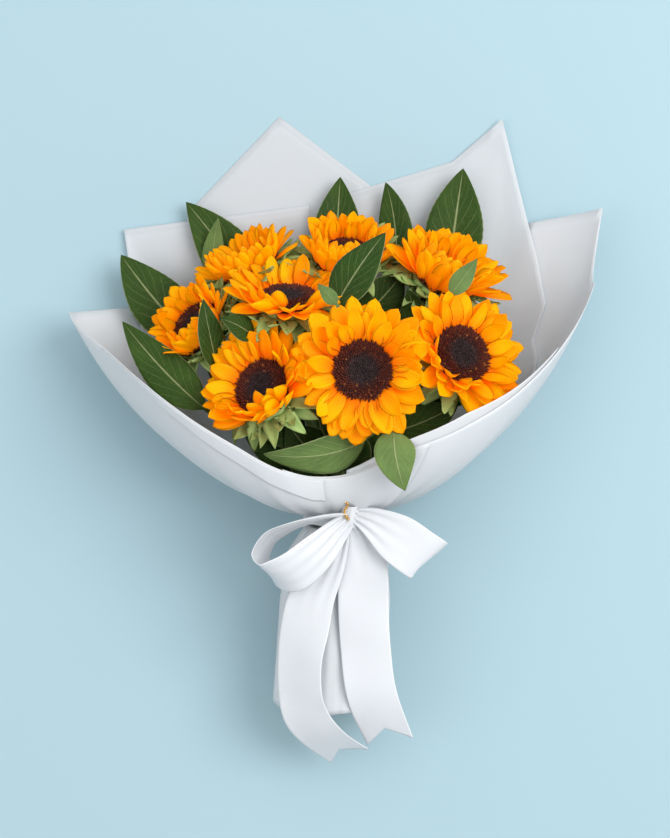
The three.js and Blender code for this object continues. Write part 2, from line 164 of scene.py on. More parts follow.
class BowSettings(bpy.types.PropertyGroup):
    """Sizes and colours of the ribbon, its wire and the twine."""

    ribbon_width: size("Ribbon width", "Width of the satin ribbon", 0.05)
    ribbon_thickness: size("Ribbon thickness", "Thickness of the satin ribbon", 0.0005)
    notch: size("Notch", "Depth of the swallow-tail cut", 0.018)
    wire_radius: size("Wire radius", "Half of the thickness of one strand of wire", 0.0007)
    twine_radius: size("Twine radius", "Half of the thickness of the twine", 0.001)
    satin_white: colour("Satin white", "Colour of the ribbon", (0.75, 0.765, 0.785))
    wire_gold: colour("Wire gold", "Colour of the wire", (0.83, 0.52, 0.18))
    twine_brown: colour("Twine brown", "Colour of the twine", (0.42, 0.29, 0.14))


# ---------------------------------------------------------------- node trees


class Wire:
    """An output socket. Arithmetic on it adds Math nodes to its tree."""

    def __init__(self, graph, socket):
        self.graph = graph
        self.socket = socket

    def math(self, operation, *values):
        inputs = dict(enumerate((self, *values)))
        return self.graph.add("ShaderNodeMath", {"operation": operation}, inputs)

    def reflected(self, operation, value):
        return self.graph.add("ShaderNodeMath", {"operation": operation}, {0: value, 1: self})

    def __add__(self, other):
        return self.math("ADD", other)

    __radd__ = __add__

    def __mul__(self, other):
        return self.math("MULTIPLY", other)

    __rmul__ = __mul__

    def __sub__(self, other):
        return self.math("SUBTRACT", other)

    def __rsub__(self, other):
        return self.reflected("SUBTRACT", other)

    def __truediv__(self, other):
        return self.math("DIVIDE", other)

    def __pow__(self, other):
        return self.math("POWER", other)

    def __abs__(self):
        return self.math("ABSOLUTE")

    def floor(self):
        return self.math("FLOOR")

    def sine(self):
        return self.math("SINE")

    def cosine(self):
        return self.math("COSINE")

    def clamped(self):
        return self.math("MAXIMUM", 0.0).math("MINIMUM", 1.0)

    def step(self, low, high):
        """Rises smoothly from 0 at low to 1 at high."""
        inputs = {0: self, 1: low, 2: high, 3: 0.0, 4: 1.0}
        return self.graph.add("ShaderNodeMapRange", {"interpolation_type": "SMOOTHSTEP"}, inputs)


class Graph:
    """Adds nodes to a shader or geometry tree."""

    def __init__(self, tree):
        self.tree = tree

    def add(self, kind, settings=None, inputs=None, output=0):
        """One node: its settings are set first, then its sockets are given values or links."""
        node = self.tree.nodes.new(kind)
        for name, value in (settings or {}).items():
            setattr(node, name, value)
        for key, value in (inputs or {}).items():
            if isinstance(value, Wire):
                self.tree.links.new(value.socket, node.inputs[key])
            else:
                node.inputs[key].default_value = value
        return Wire(self, node.outputs[output]) if node.outputs else None

    def mix(self, share, first, second):
        """A colour between two colours."""
        inputs = {0: share, 6: opaque(first), 7: opaque(second)}
        return self.add("ShaderNodeMix", {"data_type": "RGBA"}, inputs, 2)

    def point(self, x, y, z=0.0):
        return self.add("ShaderNodeCombineXYZ", inputs={0: x, 1: y, 2: z})

    def attribute(self, name):
        return self.add("ShaderNodeAttribute", {"attribute_name": name}, output=2)

    def uv(self):
        """The two coordinates of the piece's own UV map."""
        place_on = self.add("ShaderNodeUVMap", {"uv_map": "UVMap"})
        split = self.add("ShaderNodeSeparateXYZ", inputs={0: place_on})
        return split, Wire(self, split.socket.node.outputs[1])

    def object_point(self):
        return self.add("ShaderNodeTexCoord", output=3)

    def noise(self, vector, scale, detail=2.0, roughness=0.5):
        inputs = {"Vector": vector, "Scale": scale, "Detail": detail, "Roughness": roughness}
        return self.add("ShaderNodeTexNoise", inputs=inputs)

    def stretched(self, u, v, along, across):
        """The UV coordinates scaled apart, for patterns drawn out along the piece."""
        return self.point(u * along, v * across)

    def bump(self, height, distance, strength=1.0):
        inputs = {"Strength": strength, "Distance": distance, "Height": height}
        return self.add("ShaderNodeBump", inputs=inputs)


def opaque(shade):
    return shade if isinstance(shade, Wire) else (*shade[:3], 1.0)


def darker(shade, share):
    return [value * share for value in shade]


def painted(name, paint, *settings):
    """The material of that name, which the function paint makes on its first use."""
    material = bpy.data.materials.get(name)
    if material is None:
        material = bpy.data.materials.new(name)
        material.use_nodes = True
        material.node_tree.nodes.clear()
        paint(Graph(material.node_tree), *settings)
    return material


def surface_of(graph, fixed, varying, through=None):
    """Ends a material in a Principled shader. through is a share and colour of light let through."""
    surface = graph.add("ShaderNodeBsdfPrincipled", inputs={**fixed, **varying})
    if through:
        share, shade = through
        glow = graph.add("ShaderNodeBsdfTranslucent", inputs={"Color": opaque(shade)})
        surface = graph.add("ShaderNodeMixShader", inputs={0: share, 1: surface, 2: glow})
    graph.add("ShaderNodeOutputMaterial", inputs={"Surface": surface})


def petal_material(graph, flower):
    """Golden petals, orange at the foot, with fine grooves along them, glowing faintly with painted light.
    """
    u, v = graph.uv()
    tint = graph.attribute("tint")
    streaks = graph.noise(graph.stretched(u, v, 1.2, 14.0), 1.0, 3.0)
    blotches = graph.noise(graph.object_point(), 90.0, 2.0)
    foot = 1.0 - u.step(0.0, 0.62)
    warmth = (foot * 0.7 + streaks * 0.45 + tint * 0.6 + blotches * 0.2 - 0.43).clamped()
    shade = graph.mix(warmth, flower.petal_yellow, flower.petal_orange)
    edge = abs(v - 0.5).step(0.38, 0.5) * u.step(0.2, 0.8)
    shade = graph.mix(edge * 0.4, shade, (1.0, 0.55, 0.0))
    grooves = (v * 44.0).sine() * 0.5 + streaks * 1.2
    normal = graph.bump(grooves, 0.0004, 0.6)
    # Painted light: the petal colour is also emitted, so the petals glow as if lit more brightly and shone
    # through.
    fixed = {"Roughness": 0.55, "Specular IOR Level": 0.1, "Emission Strength": 0.2}
    varying = {"Base Color": shade, "Emission Color": shade, "Normal": normal}
    surface_of(graph, fixed, varying, (0.35, (1.0, 0.5, 0.0)))


def floret_material(graph, flower):
    """Red-brown open florets round the rim and grey-black buds in the middle."""
    rim = graph.attribute("rim")
    tint = graph.attribute("tint")
    top = graph.attribute("top")
    shade = graph.mix(rim.step(0.45, 0.8), flower.floret_centre, flower.floret_rim)
    tips = graph.mix(rim.step(0.35, 0.7), (0.06, 0.035, 0.035), (0.16, 0.03, 0.012))
    shade = graph.mix(top * (0.15 + tint * 0.5), shade, tips)
    pollen = tint.step(0.94, 1.0) * top * rim.step(0.4, 0.7)
    shade = graph.mix(pollen * 0.6, shade, (0.42, 0.17, 0.04))
    fixed = {"Roughness": 0.8, "Specular IOR Level": 0.25}
    surface_of(graph, fixed, {"Base Color": shade})


def green_material(graph, shade, edge, vein_share):
    """Bracts and stems: matt green with fine hairs, paler lines and edges."""
    u, v = graph.uv()
    fibre = graph.noise(graph.stretched(u, v, 2.0, 40.0), 1.0, 3.0)
    cloud = graph.noise(graph.object_point(), 55.0, 3.0)
    base = graph.mix(cloud.step(0.35, 0.7), shade, darker(shade, 0.45))
    midrib = (1.0 - abs(v - 0.5).step(0.0, 0.05)) * vein_share
    rim = abs(v - 0.5).step(0.4, 0.5) * vein_share
    base = graph.mix((midrib + rim + fibre * 0.25).clamped() * 0.7, base, edge)
    normal = graph.bump(fibre + cloud * 0.6, 0.0005, 0.7)
    fixed = {"Roughness": 0.65, "Specular IOR Level": 0.2, "Sheen Weight": 0.08, "Sheen Roughness": 0.4}
    surface_of(graph, fixed, {"Base Color": base, "Normal": normal})


def leaf_material(graph, leaf):
    """Deep green above and pale beneath, with a pale midrib and side veins."""
    u, v = graph.uv()
    upper = graph.attribute("upper")
    tint = graph.attribute("tint")
    beside = abs(v - 0.5)
    cloud = graph.noise(graph.object_point(), 38.0, 4.0, 0.6)
    speckle = graph.noise(graph.object_point(), 320.0, 2.0)
    sweep = (u * 52.0 - (beside ** 0.8) * 34.0 + cloud * 1.6).cosine()
    side_vein = sweep.step(0.86, 1.0) * (1.0 - beside.step(0.34, 0.47))
    midrib = 1.0 - beside.step(0.008, 0.03)
    cells = {"Vector": graph.stretched(u, v, 34.0, 16.0), "Scale": 1.0}
    net = graph.add("ShaderNodeTexVoronoi", {"feature": "DISTANCE_TO_EDGE"}, cells)
    fine_vein = 1.0 - net.step(0.0, 0.09)
    face = graph.mix(upper, leaf.under_green, leaf.upper_green)
    fresh = graph.mix(upper, (0.18, 0.28, 0.08), (0.036, 0.084, 0.006))
    face = graph.mix((cloud.step(0.3, 0.75) * 0.6 + tint * 0.3).clamped(), face, fresh)
    face = graph.mix(speckle.step(0.55, 0.8) * 0.25, face, (0.02, 0.06, 0.01))
    face = graph.mix((side_vein * (0.4 - upper * 0.22) + fine_vein * 0.08).clamped(), face, leaf.vein)
    face = graph.mix(midrib * 0.6, face, (0.42, 0.48, 0.22))
    face = graph.mix(beside.step(0.475, 0.5) * 0.55, face, (0.4, 0.44, 0.22))
    relief = (1.0 - upper * 2.0) * (side_vein * 0.9 + fine_vein * 0.25 + midrib * 1.2) + cloud * 0.5
    normal = graph.bump(relief, 0.0008, 0.75)
    fixed = {"Specular IOR Level": 0.18}
    varying = {"Base Color": face, "Normal": normal, "Roughness": 0.62 - upper * 0.1 + cloud * 0.1}
    surface_of(graph, fixed, varying, (0.1, (0.12, 0.3, 0.02)))


def film_material(graph, wrap):
    """Frosted film: milky, a little see-through, and whiter along its cut edges and folds."""
    u, v = graph.uv()
    cloud = graph.noise(graph.object_point(), 9.0, 2.0)
    brushed = graph.noise(graph.stretched(u, v, 3.0, 60.0), 1.0, 2.0)
    cut_edge = v.step(0.985, 0.995)
    shade = graph.mix(cloud.step(0.3, 0.7) * 0.35, wrap.film_white, darker(wrap.film_white, 0.93))
    thin = graph.attribute("tint")
    alpha = (0.9 - thin * 0.33 + cloud * 0.05 + brushed * 0.03 + cut_edge * 0.15).clamped()
    normal = graph.bump(cloud + brushed * 0.15, 0.0012, 0.35)
    fixed = {"Roughness": 0.42, "Specular IOR Level": 0.35}
    varying = {"Base Color": shade, "Alpha": alpha, "Normal": normal}
    surface_of(graph, fixed, varying, (0.16, (0.93, 0.94, 0.96)))


def satin_material(graph, bow):
    """Woven satin: a smooth face with fine lengthwise threads and a soft sheen."""
    u, v = graph.uv()
    threads = graph.noise(graph.stretched(u, v, 8.0, 240.0), 1.0, 2.0)
    weave = (u * 900.0).sine() * 0.3 + (v * 420.0).sine() * 0.5
    cloud = graph.noise(graph.object_point(), 30.0, 2.0)
    selvedge = abs(v - 0.5).step(0.468, 0.485)
    shade = graph.mix(threads * 0.2 + cloud * 0.15, bow.satin_white, darker(bow.satin_white, 0.86))
    shade = graph.mix(selvedge * 0.35, shade, (1.0, 1.0, 1.0))
    normal = graph.bump(weave * 0.5 + threads + selvedge * 2.0, 0.0002, 0.5)
    fixed = {"Specular IOR Level": 0.6, "Sheen Weight": 0.3, "Sheen Roughness": 0.3, "Anisotropic": 0.6}
    varying = {"Base Color": shade, "Normal": normal, "Roughness": 0.28 + threads * 0.16 + selvedge * 0.15}
    surface_of(graph, fixed, varying, (0.12, (0.95, 0.95, 0.97)))


def wire_material(graph, bow):
    """Gold-lacquered wire, duller where it has been twisted."""
    wear = graph.noise(graph.object_point(), 700.0, 3.0)
    shade = graph.mix(wear.step(0.4, 0.7), bow.wire_gold, darker(bow.wire_gold, 0.6))
    normal = graph.bump(wear, 0.0001, 0.5)
    varying = {"Base Color": shade, "Roughness": 0.22 + wear * 0.25, "Normal": normal}
    surface_of(graph, {"Metallic": 1.0}, varying)


def twine_material(graph, bow):
    """Hairy brown twine with its twisted strands, and painted shade in the grooves between them."""
    u, v = graph.uv()
    strands = (u * 300.0 + v * math.tau).sine() * 0.5 + 0.5
    fibre = graph.noise(graph.object_point(), 900.0, 3.0)
    # hollow is painted shade: the twine's colour at half brightness in the grooves between the strands.
    hollow = darker(bow.twine_brown, 0.5)
    shade = graph.mix((strands * 0.6 + fibre * 0.4).clamped(), hollow, bow.twine_brown)
    fixed = {"Roughness": 0.9, "Sheen Weight": 0.3}
    surface_of(graph, fixed, {"Base Color": shade, "Normal": graph.bump(strands + fibre, 0.0004)})


def floor_material(graph):
    """A matt pale floor."""
    cloud = graph.noise(graph.object_point(), 1.5, 2.0)
    shade = graph.mix(cloud, FLOOR_BLUE, darker(FLOOR_BLUE, 0.985))
    surface_of(graph, {"Roughness": 0.9, "Specular IOR Level": 0.1}, {"Base Color": shade})


# ---------------------------------------------------------------- mesh building


def link(mesh, name):
    piece = bpy.data.objects.new(name, mesh)
    bpy.context.scene.collection.objects.link(piece)
    return piece


def mesh_from(points, faces, uvs=None, values=None, smooth=True):
    """A mesh in metres. uvs hold one pair for each face corner, values a named number for each face."""
    mesh = bpy.data.meshes.new("piece")
    mesh.from_pydata([tuple(p) for p in points], [], faces)
    if uvs is not None:
        layer = mesh.uv_layers.new(name="UVMap")
        layer.data.foreach_set("uv", np.asarray(uvs, float).ravel())
    for name, numbers in (values or {}).items():
        held = mesh.attributes.new(name, "FLOAT", "FACE")
        held.data.foreach_set("value", np.asarray(numbers, float).ravel())
    mesh.polygons.foreach_set("use_smooth", [smooth] * len(mesh.polygons))
    mesh.update()
    return mesh


def grid_normals(grid, ring):
    """Unit normals of a grid of points, whose rows may close on themselves."""
    if ring:
        along = np.roll(grid, -1, 0) - np.roll(grid, 1, 0)
    else:
        along = np.gradient(grid, axis=0)
    return unit(np.cross(along, np.gradient(grid, axis=1)))


def plate(grid, thickness, ring=False, tint=0.0):
    """A closed sheet over a grid of points in metres, with UVs along and across and a side number."""
    grid = np.asarray(grid, float)
    count, width = grid.shape[:2]
    half = grid_normals(grid, ring) * thickness / 2
    points = np.concatenate([(grid + half).reshape(-1, 3), (grid - half).reshape(-1, 3)])
    spans = count if ring else count - 1
    faces, uvs, upper = [], [], []

    def quad(cells, sides, side_number):
        """A face through four cells of the grid, each on its upper side, 0, or its underside, 1."""
        faces.append([side * count * width + i % count * width + j for (i, j), side in zip(cells, sides)])
        uvs.extend((i / spans, j / (width - 1)) for i, j in cells)
        upper.append(side_number)

    def rim(first, last):
        quad([last, first, first, last], (0, 0, 1, 1), 0.5)

    for i in range(spans):
        for j in range(width - 1):
            cells = [(i, j), (i + 1, j), (i + 1, j + 1), (i, j + 1)]
            quad(cells, (0, 0, 0, 0), 1.0)
            quad(cells[::-1], (1, 1, 1, 1), 0.0)
        rim((i, 0), (i + 1, 0))
        rim((i + 1, width - 1), (i, width - 1))
    for j in range(0 if ring else width - 1):
        rim((0, j + 1), (0, j))
        rim((count - 1, j), (count - 1, j + 1))
    return mesh_from(points, faces, uvs, {"upper": upper, "tint": [tint] * len(faces)})


def ring_faces(levels, sides):
    """Faces of a stack of rings of corners, closed by one more corner at its foot and one at its tip."""
    faces = []
    around = [(k, (k + 1) % sides) for k in range(sides)]
    for low in range(0, (levels - 1) * sides, sides):
        high = low + sides
        faces += [[low + k, low + after, high + after, high + k] for k, after in around]
    last, foot = (levels - 1) * sides, levels * sides
    for k, after in around:
        faces += [[after, k, foot], [last + k, last + after, foot + 1]]
    return faces


def turned(levels, sides, foot, tip, rib=None):
    """A closed turned body: rings of radius and height in metres, and the heights of its ends."""
    points = []
    for level, (radius, height) in enumerate(levels):
        for k in range(sides):
            angle = k / sides * math.tau
            reach = radius * (rib(angle, level) if rib else 1.0)
            points.append((reach * math.cos(angle), reach * math.sin(angle), height))
    return points + [(0, 0, foot), (0, 0, tip)], ring_faces(len(levels), sides)


def tube(points, radius, sides):
    """A closed round tube along points in metres."""
    count = len(points)
    tangent = unit(np.gradient(points, axis=0))
    side = unit(np.cross(tangent[0], [0.3, 0.2, 1.0]))
    angles = np.arange(sides)[:, None] / sides * math.tau
    rings = []
    for n in range(count):
        side = unit(side - tangent[n] * np.dot(side, tangent[n]))
        other = np.cross(tangent[n], side)
        rings.append(points[n] + radius * (np.cos(angles) * side + np.sin(angles) * other))
    length = np.concatenate([[0], np.cumsum(np.linalg.norm(np.diff(points, axis=0), axis=1))])
    uvs = []
    for low, high in zip(length / length[-1], length[1:] / length[-1]):
        for k in range(sides):
            start, end = k / sides, (k + 1) / sides
            uvs += [(low, start), (low, end), (high, end), (high, start)]
    uvs += ([(0.0, 0.5)] * 3 + [(1.0, 0.5)] * 3) * sides
    return mesh_from(np.concatenate([*rings, points[:1], points[-1:]]), ring_faces(count, sides), uvs)


def joined(meshes):
    """One mesh out of several, with their UVs and face numbers."""
    points, faces, uvs, values = [], [], [], {}
    for mesh in meshes:
        start = len(points)
        points += [v.co.copy() for v in mesh.vertices]
        faces += [[start + v for v in p.vertices] for p in mesh.polygons]
        uvs += [tuple(c.uv) for c in mesh.uv_layers[0].data]
        for held in mesh.attributes:
            if held.domain == "FACE" and held.data_type == "FLOAT":
                values.setdefault(held.name, []).extend(d.value for d in held.data)
    return mesh_from(points, faces, uvs, values)


def spline(points, count):
    """Points evenly spread along a smooth curve through points."""
    points = np.asarray(points, float)
    before, after = 2 * points[:1] - points[1:2], 2 * points[-1:] - points[-2:-1]
    padded = np.concatenate([before, points, after])
    fine = []
    for a, b, c, d in zip(padded, padded[1:], padded[2:], padded[3:]):
        for t in np.linspace(0, 1, 24, endpoint=False):
            square, cube = (2 * a - 5 * b + 4 * c - d) * t ** 2, (3 * b - a - 3 * c + d) * t ** 3
            fine.append(0.5 * (2 * b + (c - a) * t + square + cube))
    fine.append(padded[-2])
    return resampled(np.array(fine), count)


def resampled(fine, count):
    """A finely stepped line again, with its points evenly spread."""
    steps = np.concatenate([[0], np.cumsum(np.linalg.norm(np.diff(fine[:, :3], axis=0), axis=1))])
    marks = np.linspace(0, steps[-1], count)
    return np.stack([np.interp(marks, steps, fine[:, k]) for k in range(fine.shape[1])], axis=1)


def finish(piece, material, slot, *nodes):
    """Gives a finished piece its material and body, and hides the CAD nodes it stands for. slot is not
    used.
    """
    piece.data.materials.clear()
    piece.data.materials.append(material)
    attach(piece, BODY)
    if nodes:
        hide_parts(*nodes)


# ---------------------------------------------------------------- petals, florets and bracts


class Head:
    """Where a flower head sits: the middle of its disc's base, and the way it faces."""

    def __init__(self, number):
        disc = self.points(f"flower_{number}_disc")
        calyx = self.points(f"flower_{number}_calyx")
        self.facing = unit(disc.mean(0) - calyx.mean(0))
        base = (disc @ self.facing).min()
        centre = (disc.min(0) + disc.max(0)) / 2
        self.place = centre + self.facing * (base - centre @ self.facing)
        reach = disc - self.place
        spread = reach - np.outer(reach @ self.facing, self.facing)
        self.disc_radius = float(np.linalg.norm(spread, axis=1).max())

    def points(self, node):
        mesh = frame["nodes"][node].data
        return np.unique(np.round([tuple(v.co) for v in mesh.vertices], 6), axis=0)

    def seat(self, piece):
        """Moves a piece onto the head: its Z to the facing direction and its -Y towards the tie."""
        up = Vector(self.facing)
        down = Vector(place(TIE) - self.place)
        down = (down - up * down.dot(up)).normalized()
        turn = Matrix((up.cross(down), -down, up)).transposed()
        piece.data.transform(Matrix.Translation(Vector(self.place)) @ turn.to_4x4())


def blade_mesh(length_steps, width_steps, outline, cup, curl, twist, wave, fold, seed):
    """A petal or bract one unit long, lens-shaped across, from its foot at the origin along X."""
    chance = random.Random(seed)
    phase = chance.uniform(0, 2 * math.pi)
    shares = [1 - (1 - n / length_steps) ** 1.15 for n in range(length_steps + 1)]
    spine = [np.zeros(3)]
    for before, after in zip(shares, shares[1:]):
        angle = curl * after ** 1.4
        spine.append(spine[-1] + (after - before) * np.array([math.cos(angle), 0.0, math.sin(angle)]))
    points = {}
    listed = []

    def corner(i, j, side):
        on_rim = j in (0, width_steps) or i == length_steps
        key = (i, j, 0 if on_rim else side) if i < length_steps else (i, 0, 0)
        if key not in points:
            share = shares[i]
            across = 2 * j / width_steps - 1 if i < length_steps else 0.0
            half = outline(share)
            bent = curl * share ** 1.4
            lift = cup * half * across ** 2 - fold * half * (1 - abs(across)) * share
            lift += wave * math.sin(5.5 * share + phase + across) * across ** 2 * share
            thick = 0.0 if on_rim else side * 0.014 * (1 - across ** 2)
            roll = twist * share
            y = across * half * math.cos(roll) - (lift + thick) * math.sin(roll)
            z = across * half * math.sin(roll) + (lift + thick) * math.cos(roll)
            points[key] = len(listed)
            listed.append(spine[i] + np.array([-z * math.sin(bent), y, z * math.cos(bent)]))
        return points[key]

    faces, uvs = [], []
    for i in range(length_steps):
        for j in range(width_steps):
            for side in (1, -1):
                cells = [(i, j), (i + 1, j), (i + 1, j + 1), (i, j + 1)][::side]
                ids = [corner(a, b, side) for a, b in cells]
                kept = [n for n, value in enumerate(ids) if ids.index(value) == n]
                faces.append([ids[n] for n in kept])
                uvs += [(shares[cells[n][0]], cells[n][1] / width_steps) for n in kept]
    foot = [corner(0, j, 1) for j in range(width_steps + 1)]
    foot += [corner(0, j, -1) for j in range(width_steps - 1, 0, -1)]
    faces.append(foot)
    uvs += [(0.0, 0.5)] * len(foot)
    return mesh_from(listed, faces, uvs)


def petal_outline(share):
    """Half of a petal's width: narrow at the foot, broad, and drawn to a short point."""
    foot = 0.55 + 0.45 * min(1, share * 3.5)
    return 0.34 * (0.24 + share) ** 0.4 * max(0.0, 1 - share ** 2.6) ** 0.74 * foot


def bract_outline(share):
    """Half of a bract's width: broad at the foot, with a long point."""
    return 0.36 * (0.35 + share) ** 0.2 * max(0.0, 1 - share ** 1.25) ** 0.95


# Petal and bract shapes: cup across, curl along, twist, edge wave and fold along the middle.
PETAL_SHAPES = [
    (0.25, 0.45, 0.1, 0.03, 0.12),
    (0.4, 0.2, -0.2, 0.04, 0.15),
    (-0.15, -0.35, 0.15, 0.05, 0.0),
    (0.5, 0.75, 0.25, 0.04, 0.1),
    (0.25, -0.15, -0.35, 0.05, 0.2),
    (0.7, 0.3, 0.35, 0.04, 0.1),
    (0.1, 0.9, -0.1, 0.04, 0.05),
    (0.35, 0.05, 0.05, 0.03, 0.3),
]
BRACT_SHAPES = [
    (0.3, -0.7, 0.3, 0.05, 0.2),
    (0.5, 0.5, -0.35, 0.06, 0.25),
    (0.2, -1.3, 0.5, 0.05, 0.15),
    (0.4, 0.15, -0.2, 0.04, 0.3),
    (0.6, -1.0, -0.6, 0.06, 0.2),
]


def variants(name, shapes, outline, steps):
    """A hidden collection of differently bent copies of one shape, for Geometry Nodes to pick from."""
    group = bpy.data.collections.new(name)
    for n, shape in enumerate(shapes):
        mesh = blade_mesh(*steps, outline, *shape, seed=n)
        group.objects.link(bpy.data.objects.new(f"{name}_{n}", mesh))
    return group


def discard(group):
    """Removes the copies that variants made."""
    for held in list(group.objects):
        bpy.data.objects.remove(held)
    bpy.data.collections.remove(group)


def new_tree(name, **inputs):
    """A geometry node tree with named inputs: each has its default, or the type of what it takes."""
    tree = bpy.data.node_groups.new(name, "GeometryNodeTree")
    add = tree.interface.new_socket
    add("Geometry", in_out="OUTPUT", socket_type="NodeSocketGeometry")
    add("Geometry", in_out="INPUT", socket_type="NodeSocketGeometry")
    for key, default in {**inputs, "material": "Material"}.items():
        label = key.replace("_", " ").title()
        if isinstance(default, str):
            add(label, in_out="INPUT", socket_type="NodeSocket" + default)
        else:
            kind = "NodeSocketInt" if isinstance(default, int) else "NodeSocketFloat"
            add(label, in_out="INPUT", socket_type=kind).default_value = default
    graph = Graph(tree)
    entry = tree.nodes.new("NodeGroupInput")
    return tree, graph, {socket.name: Wire(graph, socket) for socket in entry.outputs if socket.name}


def close_tree(graph, geometry, material):
    """Every tree ends by realizing its instances and setting its material."""
    real = graph.add("GeometryNodeRealizeInstances", inputs={0: geometry})
    painted = graph.add("GeometryNodeSetMaterial", inputs={0: real, 2: material})
    graph.add("NodeGroupOutput", inputs={0: painted})


def chance(graph, low, high, seed, offset=0):
    """A random number for each point."""
    inputs = {2: low, 3: high, 8: seed + offset}
    return graph.add("FunctionNodeRandomValue", {"data_type": "FLOAT"}, inputs, 1)


def stored(graph, geometry, name, value):
    """Keeps a number under a name on each copy."""
    settings = {"data_type": "FLOAT", "domain": "INSTANCE"}
    return graph.add("GeometryNodeStoreNamedAttribute", settings, {0: geometry, 2: name, 3: value})


def whorl_tree():
    """Rings of blades round a disc: from the lowest, outermost ring to the highest, innermost one."""
    tree, graph, given = new_tree(
        "Blade Whorls",
        blades="Collection",
        rings=4,
        per_ring=15,
        foot_radius=0.03,
        foot_narrowing=0.0,
        foot_height=0.0,
        ring_rise=0.001,
        outer_lift=0.4,
        inner_lift=0.8,
        near_lift=0.0,
        outer_length=0.037,
        inner_length=0.03,
        jitter=0.2,
        seed=1,
    )
    per_ring, rings, seed, jitter = (given[n] for n in ("Per Ring", "Rings", "Seed", "Jitter"))
    index = graph.add("GeometryNodeInputIndex")
    ring = (index / per_ring).floor()
    inward = ring / (rings - 1).math("MAXIMUM", 1.0)
    slot = index - ring * per_ring + ring * 0.5
    wobble = chance(graph, -0.5, 0.5, seed)
    angle = (slot + wobble * jitter * 2.0) / per_ring * math.tau
    nearness = (angle.sine() * -1.0).math("MAXIMUM", 0.0)
    radius = given["Foot Radius"] - inward * given["Foot Narrowing"]
    height = given["Foot Height"] + ring * given["Ring Rise"]
    position = graph.point(radius * angle.cosine(), radius * angle.sine(), height)
    points = graph.add("GeometryNodePoints", inputs={0: rings * per_ring, 1: position})
    lift = given["Outer Lift"] + inward * (given["Inner Lift"] - given["Outer Lift"])
    lift = lift + chance(graph, -1.0, 1.0, seed, 1) * jitter + nearness * given["Near Lift"]
    roll = chance(graph, -1.4, 1.4, seed, 2) * jitter
    yaw = angle + chance(graph, -0.8, 0.8, seed, 3) * jitter
    turn = graph.point(roll, lift * -1.0, yaw)
    length = given["Outer Length"] + inward * (given["Inner Length"] - given["Outer Length"])
    length = length * (1.0 + chance(graph, -0.6, 0.35, seed, 4) * jitter * 1.6)
    scale = graph.point(length, length * chance(graph, 0.85, 1.15, seed, 5), length)
    blades = graph.add("GeometryNodeCollectionInfo", inputs={0: given["Blades"], 1: True, 2: True})
    pick = chance(graph, 0.0, 100.0, seed, 6)
    inputs = {0: points, 2: blades, 3: True, 4: pick, 5: turn, 6: scale}
    placed = graph.add("GeometryNodeInstanceOnPoints", inputs=inputs)
    tinted = stored(graph, placed, "tint", chance(graph, 0.0, 1.0, seed, 7))
    close_tree(graph, tinted, given["Material"])
    return tree


# The turn from one floret to the next in a seed head's spirals.
GOLDEN_ANGLE = math.pi * (3 - math.sqrt(5))


def floret_tree():
    """Florets in the spiral pattern of a seed head, over its dome."""
    tree, graph, given = new_tree(
        "Disc Florets",
        floret="Object",
        count=600,
        radius=0.03,
        base_height=0.0,
        dome_height=0.009,
        hollow=0.004,
        floret_size=0.003,
        seed=1,
    )
    index = graph.add("GeometryNodeInputIndex")
    seed = given["Seed"]
    share = ((index + 0.5) / given["Count"]) ** 0.5
    angle = index * GOLDEN_ANGLE
    radius = share * given["Radius"] * (1.0 + chance(graph, -0.012, 0.012, seed))
    dome = given["Base Height"] + given["Dome Height"] * (1.0 - share ** 5.0)
    height = dome - given["Hollow"] * (1.0 - share.step(0.0, 0.62))
    place_on = graph.point(radius * angle.cosine(), radius * angle.sine(), height)
    points = graph.add("GeometryNodePoints", inputs={0: given["Count"], 1: place_on})
    tilt = share ** 3.0 * 0.9 + chance(graph, -0.2, 0.2, seed, 1)
    turn = graph.point(0.0, tilt, angle + chance(graph, -0.3, 0.3, seed, 2))
    tall = given["Floret Size"] * (0.55 + share.step(0.4, 0.8) * 0.75) * chance(graph, 0.7, 1.35, seed, 3)
    wide = given["Floret Size"] * (0.34 + share * 0.1) * chance(graph, 0.85, 1.2, seed, 4)
    scale = graph.point(wide, wide, tall)
    bud = graph.add("GeometryNodeObjectInfo", inputs={0: given["Floret"]}, output=4)
    placed = graph.add("GeometryNodeInstanceOnPoints", inputs={0: points, 2: bud, 5: turn, 6: scale})
    tinted = stored(graph, placed, "tint", chance(graph, 0.0, 1.0, seed, 5))
    banded = stored(graph, tinted, "rim", share)
    close_tree(graph, banded, given["Material"])
    return tree


def stem_tree():
    """A round stem along a curve, with a thicker neck under its flower."""
    tree, graph, given = new_tree("Stem Along Curve", radius=0.0055, neck_swell=0.35, sides=14)
    share = graph.add("GeometryNodeSplineParameter")
    swell = 1.0 + given["Neck Swell"] * share.step(0.86, 1.0)
    wobble = graph.noise(graph.add("GeometryNodeInputPosition"), 45.0)
    radius = given["Radius"] * swell * (0.94 + wobble * 0.12)
    line = graph.add("GeometryNodeResampleCurve", inputs={0: given["Geometry"], 2: 60})
    sized = graph.add("GeometryNodeSetCurveRadius", inputs={0: line, 2: radius})
    ring = graph.add("GeometryNodeCurvePrimitiveCircle", inputs={0: given["Sides"], 4: 1.0})
    body = graph.add("GeometryNodeCurveToMesh", inputs={0: sized, 1: ring, 2: radius, 3: True})
    close_tree(graph, body, given["Material"])
    return tree


def twine_tree():
    """Turns of twine wound round the stems."""
    tree, graph, given = new_tree(
        "Wound Twine", ring_radius=0.025, band_height=0.008, turns=4.0, twine_radius=0.001
    )
    ring = given["Ring Radius"]
    coil_inputs = {0: 48, 1: given["Turns"], 2: ring, 3: ring, 4: given["Band Height"]}
    coil = graph.add("GeometryNodeCurveSpiral", inputs=coil_inputs)
    section = graph.add("GeometryNodeCurvePrimitiveCircle", inputs={0: 8, 4: given["Twine Radius"]})
    body = graph.add("GeometryNodeCurveToMesh", inputs={0: coil, 1: section, 3: True})
    close_tree(graph, body, given["Material"])
    return tree


